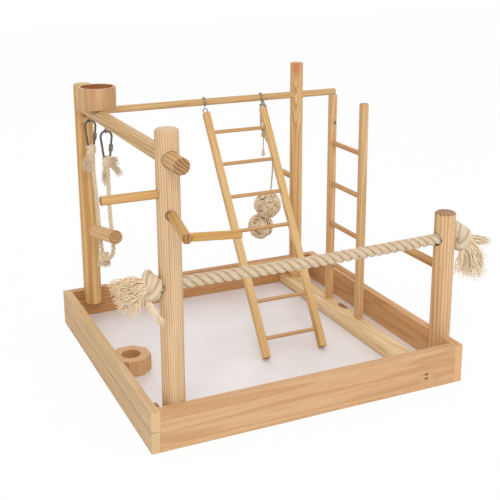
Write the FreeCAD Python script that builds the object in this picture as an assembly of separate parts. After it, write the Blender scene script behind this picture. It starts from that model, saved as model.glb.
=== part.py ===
"""Table-top play stand for a parrot: a shallow droppings tray that carries four posts, perches,
two ladders, a swing, a hanging toy, a rope perch and a bamboo food cup.

Millimetres, +Z up, +X to the right along the front board, +Y to the back.  Positions below are
measured from the tray's outer front left floor corner; save() moves every solid so that the
origin is the middle of the front board's underside.
"""
import FreeCAD, Part
import os
import math

V = FreeCAD.Vector
UP = V(0, 0, 1)
RIGHT = V(1, 0, 0)
BACK = V(0, 1, 0)

# ---- clearances -------------------------------------------------------------------------------
BODY_GAP = 0.3        # between parts that move against each other
ROPE_GAP = 0.2        # round a thin rope in its hole
EDGE = 0.8            # broken edge at the end of a dowel
POST_EDGE = 2.5       # broader chamfer round the end of a post
INSET = 0.4           # pieces that bear on a round post start this far off its side

# ---- tray -------------------------------------------------------------------------------------
TRAY_W = 500.0
TRAY_D = 480.0
BOARD_H = 60.0
BOARD_T = 13.0
SEAM_Z = 31.5         # underside of the fixed left rail
PANEL_Z = 9.0
PANEL_T = 3.0
GROOVE_D = 4.0
CORNER_DOWEL_R = 3.0
CORNER_DOWEL_IN = 18.0
RIGHT_DOWEL_Z = (22.0, 44.0)
LEFT_DOWEL_Z = 44.0

# ---- cross rail and corner block --------------------------------------------------------------
RAIL_IN = 77.5        # rail's left face, in from the tray's outer right face
RAIL_W = 35.0
RAIL_Z = 14.0
NAIL_OVER = 13.0      # nails' distance from the rail's left face
NAIL_UP = (3.5, 10.0)
NAIL_R = 1.1
NAIL_HEAD_R = 2.0
NAIL_HEAD_T = 1.0
NAIL_IN = 17.0        # nail length past the board
BLOCK_X = 13.2
BLOCK_Y = 40.0
BLOCK_Z = (15.0, 45.0)

# ---- posts ------------------------------------------------------------------------------------
FL_X = 43.0           # front left post
FL_R = 15.8
BL_R = 15.0           # back left post, behind the front left one
BL_OVER = 3.0         # and this far to its right
POST_FOOT = (20.0, 19.0)   # front and back left posts' feet, down from the tray's rim
OVER_LONG = (38.0, 36.0)   # their tops, up from the long perch's axis
BR_IN = 53.0          # back right post's axis, in from the tray's outer right face
BR_R = 11.7
BR_OFF = 3.3          # gap between it and the back board
BR_OVER_BAR = 59.0
FR_IN = 7.0           # front right post's axis, in from the tray's outer right face
FR_Y = 50.0
FR_R = 16.0
FR_TOP = 259.0
TONGUE = 28.0         # length of the front right post's tongue inside the right board
PIN_R = 1.5
PIN_DOWN = (14.0, 6.0)     # locating pins, down from the tray's rim
PIN_IN = 10.0
SCREW_R = 2.0
SCREW_HEAD_R = 3.8
SCREW_HEAD_T = 2.5
POST_SCREW_IN = 26.0
TONGUE_SCREW_L = 17.0
TONGUE_SCREW_SINK = 0.6
LADDER_SCREW_IN = 22.0

# ---- perches ----------------------------------------------------------------------------------
LONG_R = 11.0
LONG_Z = 394.0
LONG_STUB = 53.0      # free end in front of the front left post's axis
LONG_SHORT = 9.0      # its back end, short of the back left post's axis
BAR_R = 6.1
BAR_DROP = 12.0       # top bar's axis, below the long perch's
BAR_SET = 1.0         # top bar's axis, in front of the back posts'
BAR_FROM = 5.0
BAR_STUB = 80.0       # free end beyond the back right post's axis
SIDE_R = 6.0
SIDE_DROP = 46.0
SIDE_STUB = 89.0
SIDE_SHORT = 6.0
ARM_R = 6.5
ARM_DROP = 72.0
ARM_FROM = (1.4, -5.0)     # from the front left post's axis
ARM_TO = (-17.4, -112.0)
TIP_R = 5.3
TIP_FROM_END = 6.2    # tip dowel's axis back from the end of the arm
TIP_LEN = 64.0
TIP_SLOPE = 0.07      # how far the tip dowel leans along the arm's way
TIP_SEAT = 0.35       # share of the arm's radius at which the tip dowel starts
RIGHT_R = 7.0
RIGHT_Z = 169.0
RIGHT_FROM = 8.0
RIGHT_LEN = 92.0
REAR_R = 5.5
REAR_Z = 222.0
REAR_FROM = 4.0
REAR_LEN = 74.0

# ---- bamboo cup -------------------------------------------------------------------------------
CUP_FROM_END = 92.0   # cup's axis, in front of the long perch's back end
CUP_R = (29.4, 29.8)
CUP_H = 34.3
CUP_WALL = 4.6
CUP_FLOOR = 5.5
CUP_SCREW_LEN = 18.0

# ---- standing ladder --------------------------------------------------------------------------
STAND_OVER = 27.0     # ladder's axis, from the cross rail's left face
STAND_REAR = 145.0    # rear upright, in front of the back board
STAND_SPAN = 102.0
STAND_W = 11.0
STAND_H = 374.0
STAND_RUNG_R = 4.25
STAND_FIRST = 70.5    # lowest rung above the cross rail
STAND_PITCH = 73.0
STAND_RUNGS = 4
RUNG_IN = 5.0

# ---- leaning ladder ---------------------------------------------------------------------------
LEAN_RUN = 287.0      # forward and downward legs of the slope
LEAN_DROP = 364.0
LEAN_UNDER = 6.0      # where the rails' centre plane meets the top bar's plane, below its axis
LEAN_LEFT = (184.5, 198.0)     # rails' top and foot, left of the back right post's axis
LEAN_RIGHT = (74.0, 97.0)
LEAN_W = 12.0
LEAN_ROUND = 2.0
LEAN_RUNG_R = 3.25
LEAN_RUNG_S = 54.4
LEAN_PITCH = 62.2
LEAN_RUNGS = 7
HOOK_WIRE_R = 1.4
HOOK_LOOP_R = 3.2
HOOK_END_DEG = 30.0
HOOK_LOOP_DEG = 315.0
EYE_R = 4.2           # wire centre line of a screw eye
EYE_WIRE_R = 1.1
EYE_SHANK = 14.0

# ---- swing ------------------------------------------------------------------------------------
SWING_FROM_END = 41.0 # rear eye, in front of the long perch's back end
SWING_SPAN = 93.0
EYE_NECK = 0.4        # from the wood to the ring's outer edge
LINK_WIRE_R = 1.7
SWING_LINK_H = 46.0
SWING_LINK_R = (8.8, 5.4)       # wire centre line, upper and lower bow
SLEEVE_R = 3.3
SLEEVE_L = 11.0
SLEEVE_EDGE = 0.6
SLEEVE_DROP = 3.0     # sleeve's middle, below the middle of its leg
SLEEVE_GAP = 0.05     # round the wire
LINK_GATE = 4.0       # open gap in the wire under the sleeve
SWING_ROPE_R = 3.0
SWING_PERCH_R = 10.8
SWING_DROP = (165.2, 179.3)    # perch's axis below the eyes, where front and rear ropes meet it
SWING_HOLE = (4.0, 31.0)       # how far in front of its eye each rope meets the perch
PERCH_STUB = (26.0, 29.0)      # perch's ends beyond its ropes
FRONT_WAY = ((3.5, 70.0), (1.0, 24.0), (-14.0, -20.0), (13.0, -42.0))   # back and up from its hole
REAR_WAY = ((19.0, 82.0), (8.0, 30.0), (0.0, -20.0))
SWING_KNOT_DROP = 222.0
SWING_KNOT_BACK = 49.0         # lower knot, behind the front rope's hole
SWING_KNOT_R = 12.0
SWING_KNOT_H = 27.0
SWING_KNOT_IN = 0.45
ROPE_APART = 5.0      # ropes' ends in the lower knot, from its middle
TOP_KNOT_R = 7.0
TOP_KNOT_H = 16.0
TOP_KNOT_END_R = 2.4
KNOT_LAP = 4.0        # knots reach this far over the wire or rope they hold
TAIL_R = (2.6, 6.2)
FRONT_TAIL = V(12.0, -7.0, -21.0)
REAR_TAIL = V(-9.0, 9.0, -30.0)

# ---- hanging toy ------------------------------------------------------------------------------
TOY_OVER = 67.0       # toy's axis, left of the back right post's
TOY_BACK = 3.0        # toy's eye, behind the top bar's axis
TOY_NECK = 1.0
TOY_SHANK = 9.0
TOY_LINK_H = 52.0
TOY_LINK_R = (5.6, 4.4)
TOY_CORD_R = 1.6
TOY_KNOT_R = 5.2
TOY_KNOT_H = 9.0
TOY_KNOT_END_R = 1.8
TOY_TAIL_R = (1.4, 3.6)
TOY_TAIL_L = 36.0
TOY_BOW = ((0.0, 0.0), (12.0, 20.0), (19.5, 46.0), (18.8, 80.0))   # cord's way out and down
BALL_R = (25.5, 23.3)
BALL_OVER = 8.7
BALL_DROP = 135.2     # upper ball's middle, below the knot
BALL_TIE = V(6.1, 0.0, 22.7)   # cord's end, from the upper ball's middle
BALL_STEP = (-7.0, 15.5, -45.8)

# ---- octagonal block --------------------------------------------------------------------------
OCT_X = 45.0
OCT_Y = 230.0
OCT_FLATS = 58.0
OCT_H = 25.0
OCT_HOLE_R = 15.0

# ---- rope perch -------------------------------------------------------------------------------
ROPE_R = 8.7
ROPE_HOLE_R = 10.3
ROPE_OUT = (34.0, 33.0)        # ends, beyond the posts' axes
ROPE_SHARE = (0.071, 0.259, 0.481, 0.703, 0.880)     # bends, as shares of the way across
ROPE_Z = 224.6
ROPE_FALL = (1.0, 4.0, 6.3, 7.0, 7.3, 6.8)
LEFT_KNOT_R = 23.5
LEFT_KNOT_L = 24.0
LEFT_KNOT_END_R = 9.5
RIGHT_KNOT_R = 26.0
RIGHT_KNOT_L = 27.0
RIGHT_KNOT_END_R = 11.0
KNOT_SAG = 3.0        # right knot hangs this far below the rope's axis
TUFT_LAP = 5.0        # tufts start this far inside their knots
LEFT_TUFT = V(-82.0, -3.0, -2.0)       # tufts' far ends, from the post's axis and the rope's end
LEFT_TUFT_R = (10.0, 22.0)
LEFT_TAIL = V(-16.0, -17.0, -54.0)
LEFT_TAIL_R = (5.0, 5.5)
RIGHT_TUFT = V(53.0, -2.0, -78.0)
RIGHT_TUFT_R = (12.0, 22.0)
RIGHT_LOCK = V(88.0, 1.0, -25.0)
RIGHT_LOCK_R = (6.0, 7.5)
LOCK_BACK = 12.0      # tail and lock start this far back from the knot's end

# ---- derived ----------------------------------------------------------------------------------
IN_X0 = BOARD_T
IN_X1 = TRAY_W - BOARD_T
IN_Y0 = BOARD_T
IN_Y1 = TRAY_D - BOARD_T
PANEL_TOP = PANEL_Z + PANEL_T
RAIL_X0 = TRAY_W - RAIL_IN
RAIL_TOP = RAIL_Z + BOARD_T
FL_Y = IN_Y0 + FL_R
BL_X = FL_X + BL_OVER
BL_Y = IN_Y1 - BL_R
BR_X = TRAY_W - BR_IN
BR_Y = IN_Y1 - BR_R - BR_OFF
FR_X = TRAY_W - FR_IN
LONG_Y = (FL_Y - LONG_STUB, BL_Y - LONG_SHORT)
BAR_Y = BR_Y - BAR_SET
BAR_Z = LONG_Z - BAR_DROP
EYE_OUT_R = EYE_R + EYE_WIRE_R
HANG_DROP = LINK_WIRE_R + EYE_WIRE_R + BODY_GAP
ORIGIN = V(TRAY_W / 2, BOARD_T / 2, 0)

os.makedirs("parts", exist_ok=True)
parts = {}
screws = []


def save(name, shape):
    """Keeps a solid, moved so that the origin is the middle of the front board's underside."""
    moved = shape.copy()
    moved.translate(ORIGIN * -1)
    parts[name] = moved


# ---- shapes -----------------------------------------------------------------------------------
def box(x0, x1, y0, y1, z0, z1):
    return Part.makeBox(x1 - x0, y1 - y0, z1 - z0, V(x0, y0, z0))


def rod(start, end, radius):
    """Plain cylinder between two points."""
    way = end - start
    return Part.makeCylinder(radius, way.Length, start, way)


def turned(profile, start, way):
    """Solid of revolution; profile holds (distance along the axis, radius) pairs."""
    points = [V(radius, 0, along) for along, radius in profile]
    first = V(0, 0, profile[0][0])
    last = V(0, 0, profile[-1][0])
    outline = [first] + [p for p in points if p.x > 0] + [last, first]
    solid = Part.Face(Part.makePolygon(outline)).revolve(V(0, 0, 0), UP, 360)
    solid.Placement = FreeCAD.Placement(start, FreeCAD.Rotation(UP, way))
    return solid


def dowel(start, end, radius, edge=EDGE):
    """Round stick with broken edges at both ends."""
    length = (end - start).Length
    profile = [(0, radius - edge), (edge, radius), (length - edge, radius), (length, radius - edge)]
    return turned(profile, start, end - start)


def bead(start, way, length, radius, end_radius):
    """Rounded lump along an axis, for a tied knot."""
    steps = 8
    profile = []
    for i in range(steps + 1):
        turn = math.pi * i / steps
        swell = end_radius + (radius - end_radius) * math.sin(turn)
        profile.append((length * (1 - math.cos(turn)) / 2, swell))
    return turned(profile, start, way)


def tuft(start, end, radii):
    """Brush of loose strands: narrow at the knot, wide and rounded at the far end."""
    length = (end - start).Length
    narrow, wide = radii
    profile = [(0, narrow), (0.30 * length, narrow + 0.55 * (wide - narrow)), (0.72 * length, wide)]
    profile += [(0.90 * length, 0.84 * wide), (length, 0.45 * wide)]
    return turned(profile, start, end - start)


def ring_arc(centre, axis, start, wire_r, sweep):
    """Round wire bent on a circle, from a start point."""
    tangent = axis.cross(start - centre)
    face = Part.Face(Part.Wire(Part.makeCircle(wire_r, start, tangent)))
    return face.revolve(centre, axis, sweep)


def joined(shapes):
    whole = shapes[0].multiFuse(shapes[1:])
    return whole.removeSplitter()


def cord(name, points, radius):
    """Tube along straight runs and tangent arcs; prints its bend radii and checks its volume."""
    edges = []
    bends = []
    here = points[0]
    for before, corner, after in zip(points, points[1:], points[2:]):
        back = (before - corner).normalize()
        on = (after - corner).normalize()
        half_turn = (math.pi - back.getAngle(on)) / 2
        tangent = 0.45 * min((before - corner).Length, (after - corner).Length)
        radius_of_bend = tangent / math.tan(half_turn)
        enter = corner + back * tangent
        leave = corner + on * tangent
        inward = (back + on).normalize()
        centre = corner + inward * math.hypot(tangent, radius_of_bend)
        middle = centre - inward * radius_of_bend
        edges.append(Part.makeLine(here, enter))
        edges.append(Part.Arc(enter, middle, leave).toShape())
        bends.append(radius_of_bend)
        here = leave
    edges.append(Part.makeLine(here, points[-1]))
    path = Part.Wire(edges)
    section = Part.Wire(Part.makeCircle(radius, points[0], points[1] - points[0]))
    tube = path.makePipeShell([section], True, False)
    expected = math.pi * radius ** 2 * path.Length
    if abs(tube.Volume / expected - 1) > 0.01:
        raise ValueError("%s: tube volume %.0f, expected %.0f" % (name, tube.Volume, expected))
    print("%s: length %.0f mm, bend radii %s" % (name, path.Length, [round(b) for b in bends]))
    return tube


# ---- tray -------------------------------------------------------------------------------------
def groove(x0, x1, y0, y1):
    """Space that the sliding panel needs, with its running gap above and below."""
    return box(x0, x1, y0, y1, PANEL_Z - BODY_GAP, PANEL_TOP + BODY_GAP)


def build_tray():
    front_left_x = IN_X0
    front = box(front_left_x, IN_X1, 0, IN_Y0, 0, BOARD_H)
    back = box(front_left_x, IN_X1, IN_Y1, TRAY_D, 0, BOARD_H)
    left = box(0, IN_X0, 0, TRAY_D, SEAM_Z, BOARD_H)
    right = box(IN_X1, TRAY_W, 0, TRAY_D, 0, BOARD_H)
    front = front.cut(groove(0, TRAY_W, IN_Y0 - GROOVE_D, IN_Y0))
    back = back.cut(groove(0, TRAY_W, IN_Y1, IN_Y1 + GROOVE_D))
    right = right.cut(groove(IN_X1, IN_X1 + GROOVE_D, IN_Y0 - GROOVE_D, IN_Y1 + GROOVE_D))

    left_dowels = []
    right_dowels = []
    for y in (BOARD_T / 2, TRAY_D - BOARD_T / 2):
        start = V(BOARD_T / 3, y, LEFT_DOWEL_Z)
        left_dowels.append(rod(start, start + RIGHT * (BOARD_T + CORNER_DOWEL_IN), CORNER_DOWEL_R))
        for z in RIGHT_DOWEL_Z:
            end = V(TRAY_W - BOARD_T / 3, y, z)
            right_dowels.append(rod(end - RIGHT * (BOARD_T + CORNER_DOWEL_IN), end, CORNER_DOWEL_R))
    dowels = Part.makeCompound(left_dowels + right_dowels)
    left = left.cut(dowels)
    right = right.cut(dowels)

    block = box(IN_X0, IN_X0 + BLOCK_X, IN_Y0, IN_Y0 + BLOCK_Y, BLOCK_Z[0], BLOCK_Z[1])

    panel_y0 = IN_Y0 - GROOVE_D + BODY_GAP
    panel_y1 = IN_Y1 + GROOVE_D - BODY_GAP
    tray_front_x1 = IN_X0 - BODY_GAP
    panel_x0 = tray_front_x1 - GROOVE_D
    panel = box(panel_x0, IN_X1 + GROOVE_D - BODY_GAP, panel_y0, panel_y1, PANEL_Z, PANEL_TOP)
    tray_front = box(0, tray_front_x1, 0, TRAY_D, 0, SEAM_Z - 2 * BODY_GAP).cut(panel)
    save("droppings_panel", panel)
    save("tray_front", tray_front)
    save("corner_dowels", dowels)
    save("corner_block", block)
    return front.cut(dowels), back.cut(dowels), left, right


def build_cross_rail(front, back):
    """Cross rail between the boards, two nails through each board into its ends."""
    rail = box(RAIL_X0, RAIL_X0 + RAIL_W, IN_Y0, IN_Y1, RAIL_Z, RAIL_TOP)
    nails = []
    for outer, way in ((0.0, 1.0), (TRAY_D, -1.0)):
        for up in NAIL_UP:
            head = V(RAIL_X0 + NAIL_OVER, outer, RAIL_Z + up)
            neck = head + BACK * (way * NAIL_HEAD_T)
            point = head + BACK * (way * (BOARD_T + NAIL_IN))
            nails.append(joined([rod(head, neck, NAIL_HEAD_R), rod(neck, point, NAIL_R)]))
    group = Part.makeCompound(nails)
    save("rail_nails", group)
    return front.cut(group), back.cut(group), rail.cut(group)


# ---- perches ----------------------------------------------------------------------------------
def elbow():
    """Arm and tip dowel of the perch that bends to the right in front of the post."""
    start = V(FL_X + ARM_FROM[0], FL_Y + ARM_FROM[1], LONG_Z - ARM_DROP)
    end = V(FL_X + ARM_TO[0], FL_Y + ARM_TO[1], LONG_Z - ARM_DROP)
    along = (end - start).normalize()
    across = V(-along.y, along.x, 0)
    tip_way = (across + along * TIP_SLOPE).normalize()
    root = end - along * TIP_FROM_END + across * (ARM_R * TIP_SEAT)
    tip = dowel(root, root + tip_way * TIP_LEN, TIP_R)
    return dowel(start, end, ARM_R).cut(tip), tip


def screw(head, way, length):
    """Countersunk screw; head is the middle of the head's flat top."""
    top = turned([(0, SCREW_HEAD_R), (SCREW_HEAD_T, SCREW_R)], head, way)
    shank = rod(head + way * SCREW_HEAD_T, head + way * length, SCREW_R)
    return joined([top, shank])


def screw_eye(centre, into, ring_axis, shank):
    """Screw eye: a ring and a shank that goes into the wood from the ring's outer edge."""
    ring = Part.makeTorus(EYE_R, EYE_WIRE_R, centre, ring_axis)
    stem = rod(centre + into * EYE_R, centre + into * (EYE_R + shank), EYE_WIRE_R)
    return joined([ring, stem])


# ---- wire link --------------------------------------------------------------------------------
def quick_link(pivot, height, radii):
    """Pear-shaped link in the XZ plane that hangs from an eye at the pivot; returns the link,
    its sleeve, the sleeve's way and the middle of the lower bow's wire."""
    top = pivot + UP * HANG_DROP
    big_r, small_r = radii
    drop = height - 2 * LINK_WIRE_R
    big = top - UP * big_r
    small = top - UP * (drop - small_r)
    lean = math.asin((big_r - small_r) / (big - small).Length)
    right_out = V(math.cos(lean), 0, -math.sin(lean))
    left_out = V(-math.cos(lean), 0, -math.sin(lean))
    lean_deg = math.degrees(lean)
    facing = BACK * -1
    right_top = big + right_out * big_r
    right_low = small + right_out * small_r
    left_top = big + left_out * big_r
    left_low = small + left_out * small_r
    upper = ring_arc(big, facing, right_top, LINK_WIRE_R, 180 + 2 * lean_deg)
    lower = ring_arc(small, facing, left_low, LINK_WIRE_R, 180 - 2 * lean_deg)
    plain_leg = rod(left_top, left_low, LINK_WIRE_R)
    way = (right_top - right_low).normalize()
    middle = (right_top + right_low) * 0.5 - way * SLEEVE_DROP
    leg_low = rod(right_low, middle - way * (LINK_GATE / 2), LINK_WIRE_R)
    leg_top = rod(middle + way * (LINK_GATE / 2), right_top, LINK_WIRE_R)
    link = joined([upper, plain_leg, lower, leg_low, leg_top])
    sleeve_start = middle - way * (SLEEVE_L / 2)
    sleeve = dowel(sleeve_start, sleeve_start + way * SLEEVE_L, SLEEVE_R, SLEEVE_EDGE)
    bore = rod(sleeve_start - way, sleeve_start + way * (SLEEVE_L + 1), LINK_WIRE_R + SLEEVE_GAP)
    low = top - UP * drop
    return link, sleeve.cut(bore), way, low


def build_posts_and_perches():
    """Posts with everything that is let into them; returns the cross rail cuts as well."""
    front, back, left, right = build_tray()
    front, back, rail = build_cross_rail(front, back)
    save("left_rail", left)

    feet = [BOARD_H - depth for depth in POST_FOOT]
    tops = [LONG_Z + height for height in OVER_LONG]
    fl_post = dowel(V(FL_X, FL_Y, feet[0]), V(FL_X, FL_Y, tops[0]), FL_R, POST_EDGE)
    bl_post = dowel(V(BL_X, BL_Y, feet[1]), V(BL_X, BL_Y, tops[1]), BL_R, POST_EDGE)
    br_post = dowel(V(BR_X, BR_Y, RAIL_TOP), V(BR_X, BR_Y, BAR_Z + BR_OVER_BAR), BR_R)
    tongue_z = BOARD_H - TONGUE
    fr_post = dowel(V(FR_X, FR_Y, tongue_z), V(FR_X, FR_Y, FR_TOP), FR_R, POST_EDGE)
    over_board = box(IN_X1, TRAY_W + 2 * FR_R, 0, FR_Y + 2 * FR_R, 0, BOARD_H)
    fr_post = fr_post.cut(over_board)

    long_perch = dowel(V(FL_X, LONG_Y[0], LONG_Z), V(FL_X, LONG_Y[1], LONG_Z), LONG_R)
    top_bar = dowel(V(FL_X + BAR_FROM, BAR_Y, BAR_Z), V(BR_X + BAR_STUB, BAR_Y, BAR_Z), BAR_R)
    side_end = V(FL_X - SIDE_SHORT, FL_Y, LONG_Z - SIDE_DROP)
    side_perch = dowel(side_end - RIGHT * (SIDE_STUB - SIDE_SHORT), side_end, SIDE_R)
    right_end = V(FR_X, FR_Y + RIGHT_FROM, RIGHT_Z)
    right_perch = dowel(right_end, right_end + BACK * RIGHT_LEN, RIGHT_R)
    rear_end = V(BR_X, BR_Y + REAR_FROM, REAR_Z)
    rear_perch = dowel(rear_end, rear_end + BACK * REAR_LEN, REAR_R)
    arm, tip = elbow()

    pins = []
    for down in PIN_DOWN:
        z = BOARD_H - down
        pins.append(rod(V(FL_X, BOARD_T / 2, z), V(FL_X, IN_Y0 + PIN_IN, z), PIN_R))
        pins.append(rod(V(BL_X, IN_Y1 - PIN_IN, z), V(BL_X, TRAY_D - BOARD_T / 2, z), PIN_R))
    pins = Part.makeCompound(pins)
    post_screw = screw(V(BR_X, BR_Y, RAIL_Z), UP, BOARD_T + POST_SCREW_IN)
    screw_at = V(FR_X - FR_R + TONGUE_SCREW_SINK, FR_Y, BOARD_H - TONGUE / 2)
    side_screw = screw(screw_at, RIGHT, TONGUE_SCREW_L)

    rope, hole = build_rope_perch()
    fl_post = fl_post.cut(Part.makeCompound([long_perch, side_perch, pins, hole]))
    fl_post = fl_post.cut(arm)
    bl_post = bl_post.cut(Part.makeCompound([long_perch, top_bar, pins]))
    br_post = br_post.cut(Part.makeCompound([top_bar, rear_perch, post_screw]))
    fr_post = fr_post.cut(Part.makeCompound([right_perch, side_screw, hole]))
    front = front.cut(pins)
    back = back.cut(pins)
    right = right.cut(side_screw)
    rail = rail.cut(post_screw)

    save("front_board", front)
    save("back_board", back)
    save("right_board", right)
    save("front_left_post", fl_post)
    save("back_left_post", bl_post)
    save("back_right_post", br_post)
    save("front_right_post", fr_post)
    save("post_pins", pins)
    screws.extend([post_screw, side_screw])
    save("side_perch", side_perch)
    save("right_perch", right_perch)
    save("rear_perch", rear_perch)
    save("elbow_perch_arm", arm)
    save("elbow_perch_tip", tip)
    return long_perch, top_bar, rail


# ---- cup --------------------------------------------------------------------------------------
def build_cup(long_perch):
    seat = V(FL_X, LONG_Y[1] - CUP_FROM_END, LONG_Z + LONG_R)
    outer = turned([(0, CUP_R[0] - EDGE), (EDGE, CUP_R[0]), (CUP_H, CUP_R[1])], seat, UP)
    inner = turned([(CUP_FLOOR, CUP_R[0] - CUP_WALL), (CUP_H + 1, CUP_R[1] - CUP_WALL)], seat, UP)
    cup_screw = screw(seat + UP * CUP_FLOOR, UP * -1, CUP_SCREW_LEN)
    save("bamboo_cup", outer.cut(inner).cut(cup_screw))
    screws.append(cup_screw)
    return long_perch.cut(cup_screw)


# ---- standing ladder --------------------------------------------------------------------------
def build_standing_ladder(rail):
    half = STAND_W / 2
    x = RAIL_X0 + STAND_OVER
    rear = IN_Y1 - STAND_REAR
    front = rear - STAND_SPAN
    rungs = []
    for i in range(STAND_RUNGS):
        z = RAIL_TOP + STAND_FIRST + STAND_PITCH * i
        start = V(x, front + half - RUNG_IN, z)
        end = V(x, rear - half + RUNG_IN, z)
        rungs.append(rod(start, end, STAND_RUNG_R))
    save("standing_rungs", Part.makeCompound(rungs))
    names = ("standing_upright_front", "standing_upright_rear")
    fixings = []
    for name, y in zip(names, (front, rear)):
        fixing = screw(V(x, y, RAIL_Z), UP, BOARD_T + LADDER_SCREW_IN)
        fixings.append(fixing)
        upright = box(x - half, x + half, y - half, y + half, RAIL_TOP, RAIL_TOP + STAND_H)
        save(name, upright.cut(Part.makeCompound(rungs + [fixing])))
    screws.extend(fixings)
    return rail.cut(Part.makeCompound(fixings))


# ---- leaning ladder ---------------------------------------------------------------------------
def build_leaning_ladder():
    """Ladder that hangs on the top bar by two hooks and rests its feet on the panel."""
    slope = math.hypot(LEAN_RUN, LEAN_DROP)
    down = V(0, -LEAN_RUN / slope, -LEAN_DROP / slope)
    normal = V(0, -LEAN_DROP / slope, LEAN_RUN / slope)
    top_z = BAR_Z - LEAN_UNDER
    origin = V(0, BAR_Y, top_z)
    bar_centre = V(0, BAR_Y, BAR_Z)

    def at(x, s):
        return V(x, 0, 0) + origin + down * s

    arc_r = BAR_R + BODY_GAP + HOOK_WIRE_R
    loop_reach = arc_r + HOOK_LOOP_R
    eye_reach = loop_reach + HOOK_LOOP_R + EYE_R - HOOK_WIRE_R - EYE_WIRE_R
    offset = (bar_centre - origin).dot(normal)
    bar_s = (bar_centre - origin).dot(down)
    eye_s = bar_s + math.sqrt(eye_reach ** 2 - offset ** 2)
    top_s = eye_s + EYE_OUT_R
    foot_z = PANEL_TOP + BODY_GAP + LEAN_W / 2 * normal.z
    foot_s = (top_z - foot_z) / -down.z

    def rail_x(ends, s):
        return BR_X - ends[0] - (ends[1] - ends[0]) * (s - top_s) / (foot_s - top_s)

    rungs = []
    for i in range(LEAN_RUNGS):
        s = LEAN_RUNG_S + LEAN_PITCH * i
        inner = LEAN_W / 2 - RUNG_IN
        start = at(rail_x(LEAN_LEFT, s) + inner, s)
        end = at(rail_x(LEAN_RIGHT, s) - inner, s)
        rungs.append(rod(start, end, LEAN_RUNG_R))
    save("ladder_rungs", Part.makeCompound(rungs))

    for side, ends in (("left", LEAN_LEFT), ("right", LEAN_RIGHT)):
        head = at(rail_x(ends, top_s), top_s)
        foot = at(rail_x(ends, foot_s), foot_s)
        along = (foot - head).normalize()
        across = along.cross(normal)
        half = LEAN_W / 2
        stick = Part.makeBox(LEAN_W, LEAN_W, (foot - head).Length, V(-half, -half, 0))
        edges = [e for e in stick.Edges if abs(e.Vertexes[0].Z - e.Vertexes[1].Z) > 1]
        stick = stick.makeFillet(LEAN_ROUND, edges)
        turn = FreeCAD.Rotation(across, normal, along, "ZXY")
        stick.Placement = FreeCAD.Placement(head, turn)
        eye_centre = at(head.x, eye_s)
        eye = screw_eye(eye_centre, down, normal, EYE_SHANK)
        save("ladder_rail_" + side, stick.cut(Part.makeCompound(rungs + [eye])))
        save("ladder_eye_" + side, eye)

        bar_at = bar_centre + V(head.x, 0, 0)
        reach = (eye_centre - bar_at).normalize()
        turn_point = bar_at + reach * arc_r
        reach_deg = math.degrees(math.atan2(reach.z, reach.y)) % 360
        bow = ring_arc(bar_at, RIGHT * -1, turn_point, HOOK_WIRE_R, reach_deg - HOOK_END_DEG)
        loop_centre = bar_at + reach * loop_reach
        loop = ring_arc(loop_centre, RIGHT, turn_point, HOOK_WIRE_R, HOOK_LOOP_DEG)
        save("ladder_hook_" + side, joined([bow, loop]))


# ---- swing ------------------------------------------------------------------------------------
def build_swing(long_perch):
    rear_y = LONG_Y[1] - SWING_FROM_END
    eye_y = (rear_y - SWING_SPAN, rear_y)
    pivot_z = LONG_Z - LONG_R - EYE_NECK - EYE_OUT_R - EYE_R
    hole_y = [y - forward for y, forward in zip(eye_y, SWING_HOLE)]
    hole_z = [pivot_z - drop for drop in SWING_DROP]
    holes = [V(FL_X, y, z) for y, z in zip(hole_y, hole_z)]
    back_way = (holes[1] - holes[0]).normalize()
    perch = dowel(holes[0] - back_way * PERCH_STUB[0], holes[1] + back_way * PERCH_STUB[1],
                  SWING_PERCH_R)
    knot_mid = V(FL_X, hole_y[0] + SWING_KNOT_BACK, pivot_z - SWING_KNOT_DROP)
    low_knot = bead(knot_mid + UP * (SWING_KNOT_H / 2), UP * -1, SWING_KNOT_H, SWING_KNOT_R,
                    SWING_KNOT_R * SWING_KNOT_IN)
    eyes = []
    ropes = []
    bores = []
    for i, name in enumerate(("front", "rear")):
        pivot = V(FL_X, eye_y[i], pivot_z)
        eye = screw_eye(pivot + UP * EYE_R, UP, RIGHT, EYE_SHANK)
        eyes.append(eye)
        link, sleeve, way, low = quick_link(pivot, SWING_LINK_H, SWING_LINK_R)
        save("swing_eye_" + name, eye)
        save("swing_link_" + name, link)
        save("swing_sleeve_" + name, sleeve)
        knot = bead(low + UP * KNOT_LAP, UP * -1, TOP_KNOT_H, TOP_KNOT_R, TOP_KNOT_END_R)
        knot_low = low + UP * (KNOT_LAP - TOP_KNOT_H)
        toward = (1, -1)[i]
        route = [knot_low + UP * KNOT_LAP]
        route += [holes[i] + V(0, back, up) for back, up in (FRONT_WAY, REAR_WAY)[i]]
        route.append(knot_mid + V(0, -toward * ROPE_APART, KNOT_LAP))
        rope = cord("swing_rope_" + name, route, SWING_ROPE_R)
        bores.append(cord("swing hole " + name, route, SWING_ROPE_R + ROPE_GAP))
        tail = tuft(knot_low + UP * (TOP_KNOT_H / 2), knot_low + (FRONT_TAIL, REAR_TAIL)[i], TAIL_R)
        knot = joined([knot, tail]).cut(link)
        ropes.append(rope)
        save("swing_rope_" + name, rope)
        save("swing_knot_" + name, knot.cut(rope))
    save("swing_perch", perch.cut(Part.makeCompound(bores)))
    save("swing_lower_knot", low_knot.cut(Part.makeCompound(ropes)))
    print("swing pivot y %s z %.3f, sleeve way %s" % (eye_y, pivot_z, way))
    print("swing holes", holes, "lower knot", knot_mid)
    return long_perch.cut(Part.makeCompound(eyes))


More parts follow.
